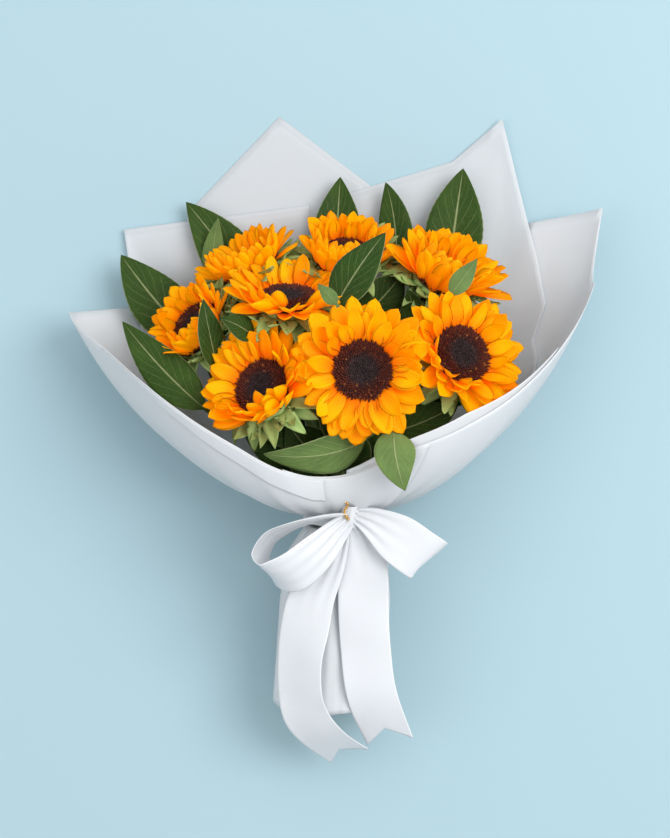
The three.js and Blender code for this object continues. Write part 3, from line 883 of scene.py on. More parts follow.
def grown(tree, values, name, source=None):
    """Runs a tree with the given inputs and returns its result as a plain mesh on a new object."""
    piece = link(source or bpy.data.meshes.new(name), name)
    modifier = piece.modifiers.new("Grow", "NODES")
    modifier.node_group = tree
    inputs = [item for item in tree.interface.items_tree if item.in_out == "INPUT"]
    sockets = {item.name: item.identifier for item in inputs}
    for label, value in values.items():
        modifier[sockets[label]] = value
    bpy.context.view_layer.update()
    graph = bpy.context.evaluated_depsgraph_get()
    result = bpy.data.meshes.new_from_object(
        piece.evaluated_get(graph), preserve_all_data_layers=True, depsgraph=graph
    )
    bpy.data.objects.remove(piece)
    if not result.polygons:
        raise RuntimeError(f"{name}: the node tree made no faces")
    result.polygons.foreach_set("use_smooth", [True] * len(result.polygons))
    return link(result, name)


# How each head holds its petals: outer and inner lift in radians, extra lift on the side near the
# tie, number of rings, and length of the petals as a share of the usual.
HEAD_HABITS = {
    1: (0.2, 0.75, 0.85, 4, 1.0),
    2: (0.12, 0.55, -0.5, 4, 1.06),
    3: (0.12, 0.65, 0.3, 4, 1.02),
    4: (0.35, 0.65, -0.25, 4, 1.0),
    5: (0.7, 1.3, 0.7, 5, 0.86),
    6: (0.35, 1.05, 0.8, 5, 1.0),
    7: (0.6, 1.3, 0.6, 4, 0.8),
    8: (0.55, 1.2, 0.4, 4, 0.78),
}


class SUNFLOWERS_OT_petals(bpy.types.Operator):
    """Builds the ray petals of every head"""

    bl_idname = "sunflowers.petals"
    bl_label = "Ray Petals"

    def execute(self, context):
        flower = context.scene.sunflower_flower
        material = painted("ray_petal", petal_material, flower)
        tree = whorl_tree()
        blades = variants("petal_blade", PETAL_SHAPES, petal_outline, (8, 4))
        for number in range(1, HEAD_COUNT + 1):
            head = Head(number)
            outer, inner, near, rings, share = HEAD_HABITS[number]
            values = {
                "Blades": blades,
                "Rings": rings,
                "Per Ring": flower.petals_per_ring,
                "Foot Radius": head.disc_radius - 0.002,
                "Foot Narrowing": 0.001,
                "Foot Height": 0.0,
                "Ring Rise": 0.0016,
                "Outer Lift": outer,
                "Inner Lift": inner,
                "Near Lift": near,
                "Outer Length": flower.petal_length * share,
                "Inner Length": flower.petal_length * share * 0.8,
                "Jitter": 0.17,
                "Seed": 10 * number,
                "Material": material,
            }
            piece = grown(tree, values, f"ray_petals_{number}")
            head.seat(piece)
            finish(piece, material, "petal", f"flower_{number}_petals")
        discard(blades)
        return {"FINISHED"}


def bud_mesh():
    """One floret: a little five-sided bud with its foot at the origin and its tip as one corner."""
    levels, sides = [(0.75, 0.0), (1.0, 0.45), (0.5, 0.9)], 5
    points, faces = turned(levels, sides, 0.0, 1.15)
    tip = len(points) - 1
    points = points[:-2] + points[-1:]
    faces = [[tip - 1 if n == tip else n for n in face] for face in faces if tip - 1 not in face]
    top = [0.0] * sides + [1.0] * (len(faces) - sides) + [0.0]
    return mesh_from(points, faces + [list(range(sides))[::-1]], None, {"top": top}, smooth=False)


# Rings of the body under the florets: shares of its radius and of its rise.
DOME_LEVELS = [(1.0, 0.0), (1.0, 0.35), (0.93, 0.72), (0.8, 0.93), (0.6, 0.97), (0.4, 0.88), (0.2, 0.72)]
DOME_BASE = 0.0005
DOME_RISE = 0.009
DOME_HOLLOW = 0.003


def dome_mesh(radius):
    """The closed body under the florets."""
    levels = [(radius * share, DOME_BASE + DOME_RISE * height) for share, height in DOME_LEVELS]
    tip = DOME_BASE + DOME_RISE * 0.65 - DOME_HOLLOW * 0.1
    return mesh_from(*turned(levels, 40, DOME_BASE, tip))


class SUNFLOWERS_OT_florets(bpy.types.Operator):
    """Builds the disc of florets in the middle of every head"""

    bl_idname = "sunflowers.florets"
    bl_label = "Disc Florets"

    def execute(self, context):
        flower = context.scene.sunflower_flower
        material = painted("disc_floret", floret_material, flower)
        tree = floret_tree()
        bud = bpy.data.objects.new("floret_bud", bud_mesh())
        for number in range(1, HEAD_COUNT + 1):
            head = Head(number)
            values = {
                "Floret": bud,
                "Count": flower.floret_count,
                "Radius": head.disc_radius - 0.0012,
                "Base Height": 0.0015,
                "Dome Height": 0.0075,
                "Hollow": DOME_HOLLOW,
                "Floret Size": flower.floret_size,
                "Seed": number,
                "Material": material,
            }
            piece = grown(tree, values, f"disc_florets_{number}")
            piece.data.polygons.foreach_set("use_smooth", [False] * len(piece.data.polygons))
            head.seat(piece)
            dome = link(dome_mesh(head.disc_radius - 0.0015), f"disc_body_{number}")
            head.seat(dome)
            finish(dome, material, "floret_disc")
            finish(piece, material, "floret_disc", f"flower_{number}_disc")
        bpy.data.objects.remove(bud)
        return {"FINISHED"}


# Rings of the green cup: share of the disc's radius, and height in metres under the disc.
CUP_LEVELS = [
    (0.2, -0.0285),
    (0.34, -0.0265),
    (0.62, -0.0215),
    (0.86, -0.014),
    (0.99, -0.0065),
    (1.03, -0.002),
    (0.95, -0.0006),
]
CUP_SIDES = 48
CUP_RIBS = 12


def receptacle_mesh(radius):
    """The green cup that carries the head, with its shallow ribs."""

    def rib(angle, level):
        return 1 + 0.03 * math.cos(CUP_RIBS * angle) * math.sin(math.pi * level / (len(CUP_LEVELS) - 1))

    levels = [(radius * share, height) for share, height in CUP_LEVELS]
    points, faces = turned(levels, CUP_SIDES, CUP_LEVELS[0][1], CUP_LEVELS[-1][1], rib)
    uvs = []
    for k in range(CUP_SIDES):
        start, end = k / CUP_SIDES, (k + 1) / CUP_SIDES
        uvs += [(start, 0.2), (end, 0.2), (end, 0.3), (start, 0.3)]
    uvs = uvs * (len(CUP_LEVELS) - 1) + [(0.1, 0.2)] * 6 * CUP_SIDES
    return mesh_from(points, faces, uvs)


class SUNFLOWERS_OT_calyxes(bpy.types.Operator):
    """Builds the green cup and bracts under every head"""

    bl_idname = "sunflowers.calyxes"
    bl_label = "Calyxes and Bracts"

    def execute(self, context):
        flower = context.scene.sunflower_flower
        material = painted("bract", green_material, flower.bract_green, (0.26, 0.35, 0.12), 1.0)
        tree = whorl_tree()
        blades = variants("bract_blade", BRACT_SHAPES, bract_outline, (7, 4))
        for number in range(1, HEAD_COUNT + 1):
            head = Head(number)
            outer, _, near, _, _ = HEAD_HABITS[number]
            values = {
                "Blades": blades,
                "Rings": 3,
                "Per Ring": 13,
                "Foot Radius": head.disc_radius * 0.8,
                "Foot Narrowing": -0.006,
                "Foot Height": -0.0155,
                "Ring Rise": 0.005,
                "Outer Lift": outer - 0.02,
                "Inner Lift": outer - 0.28,
                "Near Lift": min(near, 0.2 * near),
                "Outer Length": flower.bract_length,
                "Inner Length": flower.bract_length * 1.05,
                "Jitter": 0.14,
                "Seed": 100 + 10 * number,
                "Material": material,
            }
            bracts = grown(tree, values, f"bracts_{number}")
            head.seat(bracts)
            finish(bracts, material, "bract")
            cup = link(receptacle_mesh(head.disc_radius), f"calyx_cup_{number}")
            head.seat(cup)
            finish(cup, material, "bract", f"flower_{number}_calyx")
        discard(blades)
        return {"FINISHED"}


# Corners of one ring of a stem lie nearer to each other than this, and rings lie farther apart.
RING_REACH = 0.0125


def ring_centres(node):
    """The middle of each ring of a round rod's corners, from its cut end to its head."""
    left = [np.array(v.co) for v in frame["nodes"][node].data.vertices]
    centres = []
    while left:
        ring = [p for p in left if np.linalg.norm(p - left[0]) < RING_REACH]
        left = [p for p in left if np.linalg.norm(p - left[0]) >= RING_REACH]
        centres.append(np.unique(np.round(ring, 5), axis=0).mean(0))
    ordered = [min(centres, key=lambda p: p @ AXIS)]
    while len(ordered) < len(centres):
        others = [p for p in centres if not any(p is held for held in ordered)]
        ordered.append(min(others, key=lambda p: np.linalg.norm(p - ordered[-1])))
    return np.array(ordered)


class SUNFLOWERS_OT_stems(bpy.types.Operator):
    """Builds the eight cut stems"""

    bl_idname = "sunflowers.stems"
    bl_label = "Stems"

    def execute(self, context):
        flower = context.scene.sunflower_flower
        material = painted("stem", green_material, flower.bract_green, (0.3, 0.36, 0.14), 0.0)
        tree = stem_tree()
        for number in range(1, HEAD_COUNT + 1):
            node = f"flower_{number}_stem"
            path = bpy.data.curves.new(node + "_path", "CURVE")
            path.dimensions = "3D"
            points = ring_centres(node)
            line = path.splines.new("POLY")
            line.points.add(len(points) - 1)
            for held, point in zip(line.points, points):
                held.co = (*point, 1.0)
            values = {"Radius": flower.stem_radius, "Material": material}
            piece = grown(tree, values, f"cut_stem_{number}", path)
            finish(piece, material, "stem", node)
        return {"FINISHED"}


# ---------------------------------------------------------------- leaves

# Base, middle and tip of the midrib, greatest width, the way the upper side faces, and how far the
# blade curls back at its sides.
LEAVES = {
    "leaf_back_left": ([(-135, 88, 44), (-188, 140, 34), (-222, 190, 30)], 58, (0.2, 0.2, 1), 0.2),
    "leaf_back_left_inner": ([(-62, 112, 30), (-108, 190, 10), (-156, 246, 14)], 60, (0.2, 0, 1), 0.15),
    "leaf_back_left_small": ([(-128, 150, 32), (-130, 190, 24), (-122, 228, 30)], 24, (0.3, 0, -1), 0.3),
    "leaf_back_middle": ([(-2, 150, 20), (0, 215, 14), (4, 272, 14)], 52, (0.1, 0, 1), 0.1),
    "leaf_back_right_inner": ([(62, 150, 26), (66, 222, 20), (51, 266, 18)], 36, (-0.2, 0, 1), 0.4),
    "leaf_back_right": ([(112, 140, 26), (122, 222, 20), (131, 280, 22)], 60, (0, -0.1, 1), 0.15),
    "leaf_left_rim": ([(-118, 22, 138), (-168, 60, 128), (-213, 118, 112)], 44, (-0.3, 0.5, 0.9), 0.3),
    "leaf_centre": ([(-8, 118, 148), (16, 164, 158), (48, 204, 142)], 50, (-0.4, 0.5, 0.8), 0.3),
    "leaf_centre_small": ([(2, 128, 200), (-6, 138, 206), (-18, 150, 202)], 14, (0, 0.2, -1), 0.3),
    "leaf_left_inner": ([(-115, 62, 128), (-124, 100, 160), (-130, 138, 158)], 28, (0.5, 0, 0.9), 0.2),
    "leaf_left_lower": ([(-78, 98, 150), (-90, 112, 170), (-112, 118, 176)], 26, (0, 0.4, 1), 0.3),
    "leaf_front_curl": ([(38, 8, 144), (-2, -24, 172), (-71, -13, 175)], 46, (0, 0.6, -0.8), 0.5),
    "leaf_front_hanging": ([(56, 18, 176), (52, -12, 203), (66, -48, 189)], 40, (-0.1, 0.2, -1), 0.3),
    "leaf_right_small": ([(108, 138, 150), (122, 156, 154), (138, 178, 146)], 20, (0.2, 0.2, -1), 0.3),
}
LEAF_ROWS = 34
LEAF_COLUMNS = 12
STALK_SHARE = 0.13


def leaf_grid(rib, width, face, curl, fold, seed):
    """Points over a leaf in design millimetres: a folded, wavy blade on a narrow stalk."""
    chance_of = random.Random(seed)
    phase, height = chance_of.uniform(0, 6.28), chance_of.uniform(0.6, 1.0)
    base, middle, tip = (np.array(p, float) for p in rib)
    upper = unit(np.array(face, float))
    rows = []
    for n in range(LEAF_ROWS + 1):
        share = n / LEAF_ROWS
        centre = base * (1 - share) ** 2 + middle * 2 * share * (1 - share) + tip * share ** 2
        tangent = unit((middle - base) * 2 * (1 - share) + (tip - middle) * 2 * share)
        side = unit(np.cross(upper, tangent))
        lift = np.cross(tangent, side)
        blade = max(0.0, (share - STALK_SHARE) / (1 - STALK_SHARE))
        half = 0.5 * width * (math.sin(math.pi * blade ** 0.72) ** 0.85 if 0 < blade < 1 else 0.0)
        teeth = 1 + 0.035 * ((blade * 15) % 1.0) * math.sin(math.pi * blade)
        half = max(1.7 * (1 - share) + 0.25, half * teeth)
        row = []
        for k in range(LEAF_COLUMNS + 1):
            across = 2 * k / LEAF_COLUMNS - 1
            rise = fold * half * abs(across) ** 1.3 - curl * half * across ** 2 * 0.5
            wave = math.sin(9 * share + phase + 1.2 * across) * abs(across) ** 1.5
            rise += 0.07 * half * height * wave
            row.append(centre + side * across * half * (1 - 0.08 * abs(fold)) + lift * rise)
        rows.append(row)
    return np.array(rows)


class SUNFLOWERS_OT_leaves(bpy.types.Operator):
    """Builds the leaves"""

    bl_idname = "sunflowers.leaves"
    bl_label = "Leaves"

    def execute(self, context):
        leaf = context.scene.sunflower_leaf
        material = painted("sunflower_leaf", leaf_material, leaf)
        for seed, (node, (rib, width, face, curl)) in enumerate(LEAVES.items()):
            grid = place(leaf_grid(rib, width, face, curl, leaf.fold, seed))
            grid[..., 2] = np.maximum(grid[..., 2], leaf.thickness)
            tint = random.Random(seed + 40).random()
            piece = link(plate(grid, leaf.thickness, tint=tint), node.replace("leaf_", "blade_"))
            finish(piece, material, "leaf", node)
        return {"FINISHED"}


# Leaves low on the stems, inside the wrap: base, middle and tip of the midrib, and width.
STEM_LEAVES = [
    [(-20, -6, 118), (-62, 14, 140), (-92, 60, 128), 44],
    [(14, 0, 120), (8, 20, 146), (-22, 48, 150), 44],
    [(40, 4, 118), (84, 14, 142), (120, 36, 140), 40],
    [(30, 40, 112), (66, 70, 130), (84, 108, 128), 44],
    [(-20, 50, 108), (-42, 88, 124), (-20, 118, 132), 44],
    [(60, 60, 100), (88, 110, 120), (70, 150, 122), 40],
    [(-70, 30, 110), (-110, 70, 112), (-130, 90, 112), 40],
    [(-30, 90, 70), (-92, 130, 84), (-104, 152, 92), 46],
    [(90, 30, 110), (140, 60, 120), (168, 92, 112), 40],
    [(20, 120, 90), (48, 140, 104), (66, 168, 98), 44],
    [(-4, -38, 108), (-24, -16, 134), (-50, 18, 134), 52],
    [(10, -38, 110), (14, -12, 134), (4, 30, 138), 50],
    [(22, -36, 108), (46, -14, 132), (58, 24, 134), 50],
    [(-10, -30, 104), (-60, -8, 128), (-96, 22, 124), 46],
    [(30, -26, 104), (74, -4, 130), (110, 30, 126), 46],
    [(-30, 20, 108), (-60, 60, 120), (-70, 100, 116), 50],
    [(30, 10, 100), (20, 60, 120), (10, 110, 118), 54],
    [(60, 20, 96), (100, 60, 110), (124, 110, 100), 50],
]


class SUNFLOWERS_OT_stem_leaves(bpy.types.Operator):
    """Builds the leaves low on the stems, in the depth between the heads"""

    bl_idname = "sunflowers.stem_leaves"
    bl_label = "Leaves in the Depth"

    def execute(self, context):
        leaf = context.scene.sunflower_leaf
        material = painted("sunflower_leaf", leaf_material, leaf)
        blades = []
        for seed, (base, middle, tip, width) in enumerate(STEM_LEAVES):
            face = (0.3 * math.sin(seed * 2.1), 0.3 * math.cos(seed * 1.7), 1.0)
            grid = place(leaf_grid([base, middle, tip], width, face, 0.2, leaf.fold, 60 + seed))
            blades.append(plate(grid, leaf.thickness, tint=(seed % 3) / 4))
        finish(link(joined(blades), "stem_leaves"), material, "leaf")
        return {"FINISHED"}


# ---------------------------------------------------------------- wrap

# The lip that all wrap sheets share, once round the bunch from the middle of its front, leftwards.
LIP = np.array(
    [
        (4, -30, 146),
        (-50, -22, 176),
        (-105, 8, 186),
        (-166, 50, 172),
        (-222, 94, 126),
        (-266, 136, 70),
        (-262, 220, 26),
        (-232, 296, 4),
        (-155, 340, 0),
        (-58, 337, 0),
        (56, 342, 0),
        (172, 334, 8),
        (244, 298, 30),
        (270, 230, 62),
        (254, 160, 105),
        (214, 94, 146),
        (164, 44, 174),
        (114, 16, 184),
        (60, -6, 178),
    ],
    float,
)
# How far the film bellies out, as a share of its rise, and the layer that lies on the floor.
WRAP_BOW = 0.22
LOWEST_LAYER = 2
COLUMNS_PER_STATION = 9
WRAP_ROWS = 30

# Layer of each sheet, and its top edge as pairs of lip station and share of the way from tie to lip.
WRAP_SHEETS = {
    "wrap_back_left": (0, [(4.5, 0.62), (6.6, 0.74), (6.85, 0.842), (9.3, 0.775)]),
    "wrap_back": (2, [(6.5, 0.6), (7.95, 0.781), (9, 1), (10.5, 0.7), (12, 0.6)]),
    "wrap_right_tall": (
        1,
        [(9.5, 0.79), (10.55, 0.885), (11, 1), (11.85, 0.731), (12.42, 0.677), (12.6, 0.6), (15.5, 0.6)],
    ),
    "wrap_right": (3, [(11.49, 0.792), (12.8, 0.99), (14, 1), (20, 1)]),
    "wrap_left": (4, [(-1.5, 1), (5, 1), (6.5, 0.7)]),
}
# Sheets behind the flowers, where the film is a single layer and lets more light through.
SINGLE_SHEETS = ("wrap_back_left", "wrap_back", "wrap_right_tall")

# Loose edges of the film: first and last lip station, layer, and how far the strip reaches below and
# above the lip at its first, middle and last station.
LOOSE_EDGES = {
    "film_turned_hem": (0.25, 4.1, 5, (34, 20, 1), (0, 0, 0)),
    "film_inner_edge": (15.0, 18.9, 2, (30, 30, 22), (1, 15, 3)),
}
# Lip station about which the film sags, and how many stations away the sag ends.
SAG_STATION = 2.0
SAG_SPAN = 7.0


def lip_point(station):
    """A point of the lip's smooth closed curve."""
    count = len(LIP)
    first = math.floor(station)
    share = station - first
    a, b, c, d = (LIP[(first + k) % count] for k in (-1, 0, 1, 2))
    gaps = [np.linalg.norm(q - p) ** 0.5 for p, q in ((a, b), (b, c), (c, d))]
    leave = ((b - a) / gaps[0] - (c - a) / (gaps[0] + gaps[1]) + (c - b) / gaps[1]) * gaps[1]
    arrive = ((c - b) / gaps[1] - (d - b) / (gaps[1] + gaps[2]) + (d - c) / gaps[2]) * gaps[1]
    square, cube = share ** 2, share ** 3
    start = b * (2 * cube - 3 * square + 1) + leave * (cube - 2 * square + share)
    return start + c * (3 * square - 2 * cube) + arrive * (cube - square)


def pleat(angle, count):
    """How far the film stands out at an angle round the axis, from -1 to 1, with pinched ridges."""
    wave = math.sin(count * angle + 1.3 * math.sin(3 * angle) + 0.6 * math.sin(5 * angle + 1))
    return 0.75 * math.copysign(abs(wave) ** 0.7, wave) + 0.25 * math.sin(2.3 * count * angle)


def wrap_point(station, share, layer, depth, pleats):
    """A point of the wrap at a lip station, a share of the way from the tie to the lip."""
    mouth = lip_point(station)
    offset = mouth - TIE
    radial = unit(offset - AXIS * (offset @ AXIS))
    angle = math.atan2(radial @ ABOVE, radial @ RIGHT)
    stand = depth * pleat(angle, pleats)
    foot = TIE + radial * (NECK_RADIUS + layer * LAYER_PITCH)
    if share < 0:
        return foot - AXIS * WAIST_WIDTH / 2 * -share + radial * stand * 0.4
    neck = TIE + radial * NECK_RADIUS + AXIS * NECK_HEIGHT
    rise = mouth - neck
    outward = unit(radial - rise * (radial @ rise) / (rise @ rise))
    around = (station - SAG_STATION + len(LIP) / 2) % len(LIP) - len(LIP) / 2
    sag = 1 + 0.3 * max(0.0, math.cos(around * math.pi / SAG_SPAN))
    control = neck + rise / 2 + outward * WRAP_BOW * sag * np.linalg.norm(rise)
    point = neck * (1 - share) ** 2 + control * 2 * share * (1 - share) + mouth * share ** 2
    blend = min(1.0, share / 0.08)
    direction = unit(radial * (1 - blend) + outward * blend)
    fading = math.exp(-((share / 0.42) ** 1.5)) * (1 + 1.6 * share)
    ripple = 0.9 * math.sin(2.6 * station + 0.7) * share ** 2
    point = point + direction * (layer * LAYER_PITCH + stand * fading + ripple)
    floor = 0.4 + max(0, LOWEST_LAYER - layer) * LAYER_PITCH
    point[2] = max(point[2], floor)
    return point


def straight_share(station, ends, layer, depth, pleats):
    """The share at which a column meets the straight line between two corners, seen from the front."""
    first, last = ends

    def side_of(share):
        point = wrap_point(station, share, layer, depth, pleats)
        line, reach = (last - first)[:2], (point - first)[:2]
        return line[0] * reach[1] - line[1] * reach[0]

    low, high = 0.35, 1.25
    rising = side_of(low) < side_of(high)
    for _ in range(24):
        middle = (low + high) / 2
        if (side_of(middle) < 0) == rising:
            low = middle
        else:
            high = middle
    return (low + high) / 2


def wrap_grid(layer, top, depth, pleats):
    """Points over one sheet, from its gathered foot under the ribbon to its cut edge."""
    columns = []
    for (start, low), (end, high) in zip(top, top[1:]):
        follows_lip = low == high
        ends = [wrap_point(s, r, layer, depth, pleats) for s, r in ((start, low), (end, high))]
        count = max(2, round((end - start) * COLUMNS_PER_STATION))
        for n in range(count + (end == top[-1][0])):
            station = start + (end - start) * n / count
            at_corner = follows_lip or n in (0, count)
            straight = low + (high - low) * n / count
            reach = straight if at_corner else straight_share(station, ends, layer, depth, pleats)
            shares = [-1.0, -0.5] + [reach * k / WRAP_ROWS for k in range(WRAP_ROWS + 1)]
            columns.append([wrap_point(station, share, layer, depth, pleats) for share in shares])
    return np.array(columns)


def declare_film(grid):
    """Takes the two diagonals of each cell of a sheet's grid, and does nothing more with them."""
    first, second = grid[1:, 1:] - grid[:-1, :-1], grid[1:, :-1] - grid[:-1, 1:]


class SUNFLOWERS_OT_wrap(bpy.types.Operator):
    """Builds the five sheets of frosted film round the flowers"""

    bl_idname = "sunflowers.wrap"
    bl_label = "Wrap Sheets"

    def execute(self, context):
        wrap = context.scene.sunflower_wrap
        material = painted("frosted_film", film_material, wrap)
        pleating = (wrap.pleat_depth / MM, wrap.pleats)
        for node, (layer, top) in WRAP_SHEETS.items():
            grid = wrap_grid(layer, top, *pleating)
            thin = 1.0 if node in SINGLE_SHEETS else 0.0
            piece = link(plate(place(grid), wrap.thickness, tint=thin), node.replace("wrap_", "film_"))
            finish(piece, material, "wrap", node)
            declare_film(grid)
        for name, (first, last, layer, below, above) in LOOSE_EDGES.items():
            grid = []
            for share in np.linspace(0, 1, 64):
                station = first + (last - first) * share
                rise = np.linalg.norm(lip_point(station) - TIE)
                low, high = (np.interp(share, (0, 0.5, 1), reach) / rise for reach in (below, above))
                shares = np.linspace(1 - low, 1 + high, 14)
                grid.append([wrap_point(station, part, layer, *pleating) for part in shares])
            piece = link(plate(place(grid), wrap.thickness), name)
            finish(piece, material, "wrap")
            declare_film(np.array(grid))
        return {"FINISHED"}


# Levels of the sleeve: share of the way to the cut end, half of its width and half of its depth.
SLEEVE_LEVELS = [
    (0.06, WAIST_RADIUS - 5, WAIST_RADIUS - 5),
    (0.2, 0.84 * HANDLE_HALF_WIDTH, 0.86 * HANDLE_HALF_DEPTH),
    (0.45, 0.95 * HANDLE_HALF_WIDTH, 0.95 * HANDLE_HALF_DEPTH),
    (1.0, HANDLE_HALF_WIDTH, HANDLE_HALF_DEPTH),
]


class SUNFLOWERS_OT_sleeve(bpy.types.Operator):
    """Builds the wrapped handle round the stems"""

    bl_idname = "sunflowers.sleeve"
    bl_label = "Wrapped Handle"

    def execute(self, context):
        wrap = context.scene.sunflower_wrap
        columns, rows = 144, 34
        shares, half_widths, half_depths = zip(*SLEEVE_LEVELS)
        grid = []
        for i in range(columns):
            angle = i / columns * 2 * math.pi
            column = []
            for n in range(rows + 1):
                share = shares[0] + (1 - shares[0]) * n / rows
                half_width = np.interp(share, shares, half_widths)
                half_depth = np.interp(share, shares, half_depths)
                fading = math.exp(-share / 0.35) * 1.5 + 0.35
                stand = wrap.pleat_depth / MM * pleat(angle, wrap.pleats) * fading
                edge = 3.0 * math.sin(2 * angle + 0.6) * share ** 3
                along = -share * HANDLE_LENGTH + edge
                right = (half_width * 0.95 + stand) * math.cos(angle) - 3.0 * share ** 0.5
                point = on_bundle(right, (half_depth + stand) * math.sin(angle), along)
                point[2] = max(point[2], wrap.thickness / MM)
                column.append(point)
            grid.append(column)
        piece = link(plate(place(grid), wrap.thickness, ring=True), "film_sleeve")
        finish(piece, painted("frosted_film", film_material, wrap), "wrap", "wrap_handle")
        return {"FINISHED"}


# ---------------------------------------------------------------- ribbon, wire and twine

KNOT_HALF = np.array([13.0, 11.0, 8.0])
KNOT = on_bundle(10, WAIST_RADIUS + KNOT_HALF[2] + 2.3, 6)

# Loops of the bow: place beside the knot, share of the ribbon's width, and the direction of that
# width. Each loop leaves the knot on edge, turns over at its far end and comes back as a broad band.
LEFT_LOOP = [
    ((-4, 1, 2), 0.3, (0.1, 0.5, 0.86)),
    ((-28, -1, 8), 0.5, (0.05, 0.35, 0.93)),
    ((-58, -9, 10), 0.75, (0, 0.3, 0.95)),
    ((-80, -21, 6), 0.9, (-0.1, 0.35, 0.93)),
    ((-89, -40, 4), 1.0, (-0.3, 0.3, 0.9)),
    ((-80, -57, 12), 1.0, (-0.35, 0.55, 0.75)),
    ((-58, -54, 20), 0.95, (-0.42, 0.76, 0.5)),
    ((-34, -35, 18), 0.8, (-0.5, 0.8, 0.35)),
    ((-14, -14, 10), 0.5, (-0.5, 0.85, 0.2)),
    ((-3, -3, 5), 0.3, (-0.3, 0.95, 0)),
]
RIGHT_LOOP = [
    ((4, 2, 6), 0.3, (0.1, 1, 0.1)),
    ((22, -6, 12), 0.62, (0.3, 0.95, 0.1)),
    ((44, -20, 15), 0.95, (0.5, 0.85, 0.1)),
    ((66, -36, 11), 1.0, (0.68, 0.73, 0.05)),
    ((77, -43, 3), 1.0, (0.74, 0.67, 0)),
    ((68, -38, -6), 1.0, (0.7, 0.7, 0)),
    ((44, -23, -8), 0.9, (0.5, 0.85, 0)),
    ((20, -8, -5), 0.55, (0.2, 0.95, 0)),
    ((4, -2, -1), 0.3, (0, 1, 0)),
]


def over_handle(right, along, lift):
    """A point above the sleeve, a share of the way from the tie to the cut end."""
    girth = 0.9 if along < 0.2 else 0.97
    crown = TIE + (HANDLE_END - TIE) * along
    return crown + ABOVE * (HANDLE_HALF_DEPTH * girth + 2.5 + lift) + RIGHT * right


# Tails: place over the handle, share of the width, and the direction of the width.
LEFT_TAIL = [
    ((4, 0.0, 6), 0.3, (1, 0, 0)),
    ((-9, 0.2, 7), 0.62, (1, 0.1, 0.1)),
    ((-25, 0.38, 7), 0.9, (1, 0.1, 0.2)),
    ((-31, 0.53, 7), 1.0, (0.9, 0.05, 0.3)),
    ((-35, 0.7, 7), 1.0, (0.85, 0.05, 0.45)),
    ((-33, 0.88, 6), 1.0, (0.85, 0.05, 0.45)),
    ((-25, 1.02, 2), 1.0, (0.92, 0.15, 0.35)),
    ((-7, 1.14, -8), 1.0, (0.9, 0.2, 0.38)),
    ((20, 1.27, -30), 1.0, (0.87, 0.24, 0.4)),
]
RIGHT_TAIL = [
    ((9, 0.0, 8), 0.32, (1, 0, 0)),
    ((19, 0.1, 6), 0.8, (1, 0, 0.05)),
    ((24, 0.25, 5), 0.98, (1, 0, 0.1)),
    ((26, 0.42, 4), 1.0, (1, 0, -0.05)),
    ((30, 0.64, 3), 1.0, (1, 0, 0.05)),
    ((39, 0.9, 2), 1.0, (1, 0.05, 0)),
    ((60, 1.17, -16), 1.0, (1, 0.05, 0.3)),
]


def ribbon_grid(stations, width, rows, columns, folds, notch=0.0):
    """Points over a strip of ribbon. folds is the depth of its lengthwise folds where it is gathered."""
    places = np.array([p for p, _, _ in stations], float)
    extra = np.array([[share, *side] for _, share, side in stations], float)
    both = spline(np.hstack([places, extra]), rows + 1)
    line, shares, sides = both[:, :3], both[:, 3], unit(both[:, 4:])
    tangent = unit(np.gradient(line, axis=0))
    sides = unit(sides - tangent * np.sum(sides * tangent, axis=1, keepdims=True))
    normal = np.cross(sides, tangent)
    grid = np.zeros((rows + 1, columns + 1, 3))
    for n in range(rows + 1):
        gathered = 1 - min(1.0, shares[n])
        for k in range(columns + 1):
            across = 2 * k / columns - 1
            half = width / 2 * shares[n]
            drawn = folds * (gathered ** 0.8) * math.cos(across * 11 + 0.8)
            soft = 0.9 * math.sin(2.2 * across + 5.5 * n / rows)
            soft += 1.3 * across ** 2 * math.sin(4 * n / rows + 1)
            stand = drawn + soft * min(1, 3 * shares[n])
            grid[n, k] = line[n] + sides[n] * across * half + normal[n] * stand
        if notch:
            cut = max(0.0, (n / rows - 0.8) / 0.2)
            for k in range(columns + 1):
                across = abs(2 * k / columns - 1)
                grid[n, k] -= tangent[n] * notch * (1 - across) * cut ** 2
    return grid


def grid_round(columns, rows, point_at):
    """Points round a band or tube: point_at takes an angle and a share along it, from 0 to 1."""
    angles = [i / columns * math.tau for i in range(columns)]
    return np.array([[point_at(angle, n / rows) for n in range(rows + 1)] for angle in angles])


def knot_point(angle, share):
    """A point of the pinched middle of the bow: a short roll of ribbon with gathers along it."""
    share = 2 * share - 1
    bulge = 0.72 + 0.28 * math.cos(math.pi * share * 0.5) + 0.1 * share ** 2
    bulge *= 1 + 0.05 * math.sin(9 * angle + 1.5 * share + math.sin(2 * angle))
    right = RIGHT * KNOT_HALF[0] * 0.72 * bulge * math.cos(angle)
    return KNOT + right + AXIS * share * KNOT_HALF[1] + ABOVE * KNOT_HALF[2] * bulge * math.sin(angle)


def waist_point(angle, share):
    """A point of the band of ribbon round the gathered wrap."""
    share -= 0.5
    crease = 0.5 * math.sin(7 * angle + 9 * share) + 0.6 * math.sin(25 * share + 3 * math.sin(angle))
    radius = WAIST_RADIUS + crease
    return on_bundle(radius * math.cos(angle), radius * math.sin(angle), share * WAIST_WIDTH)


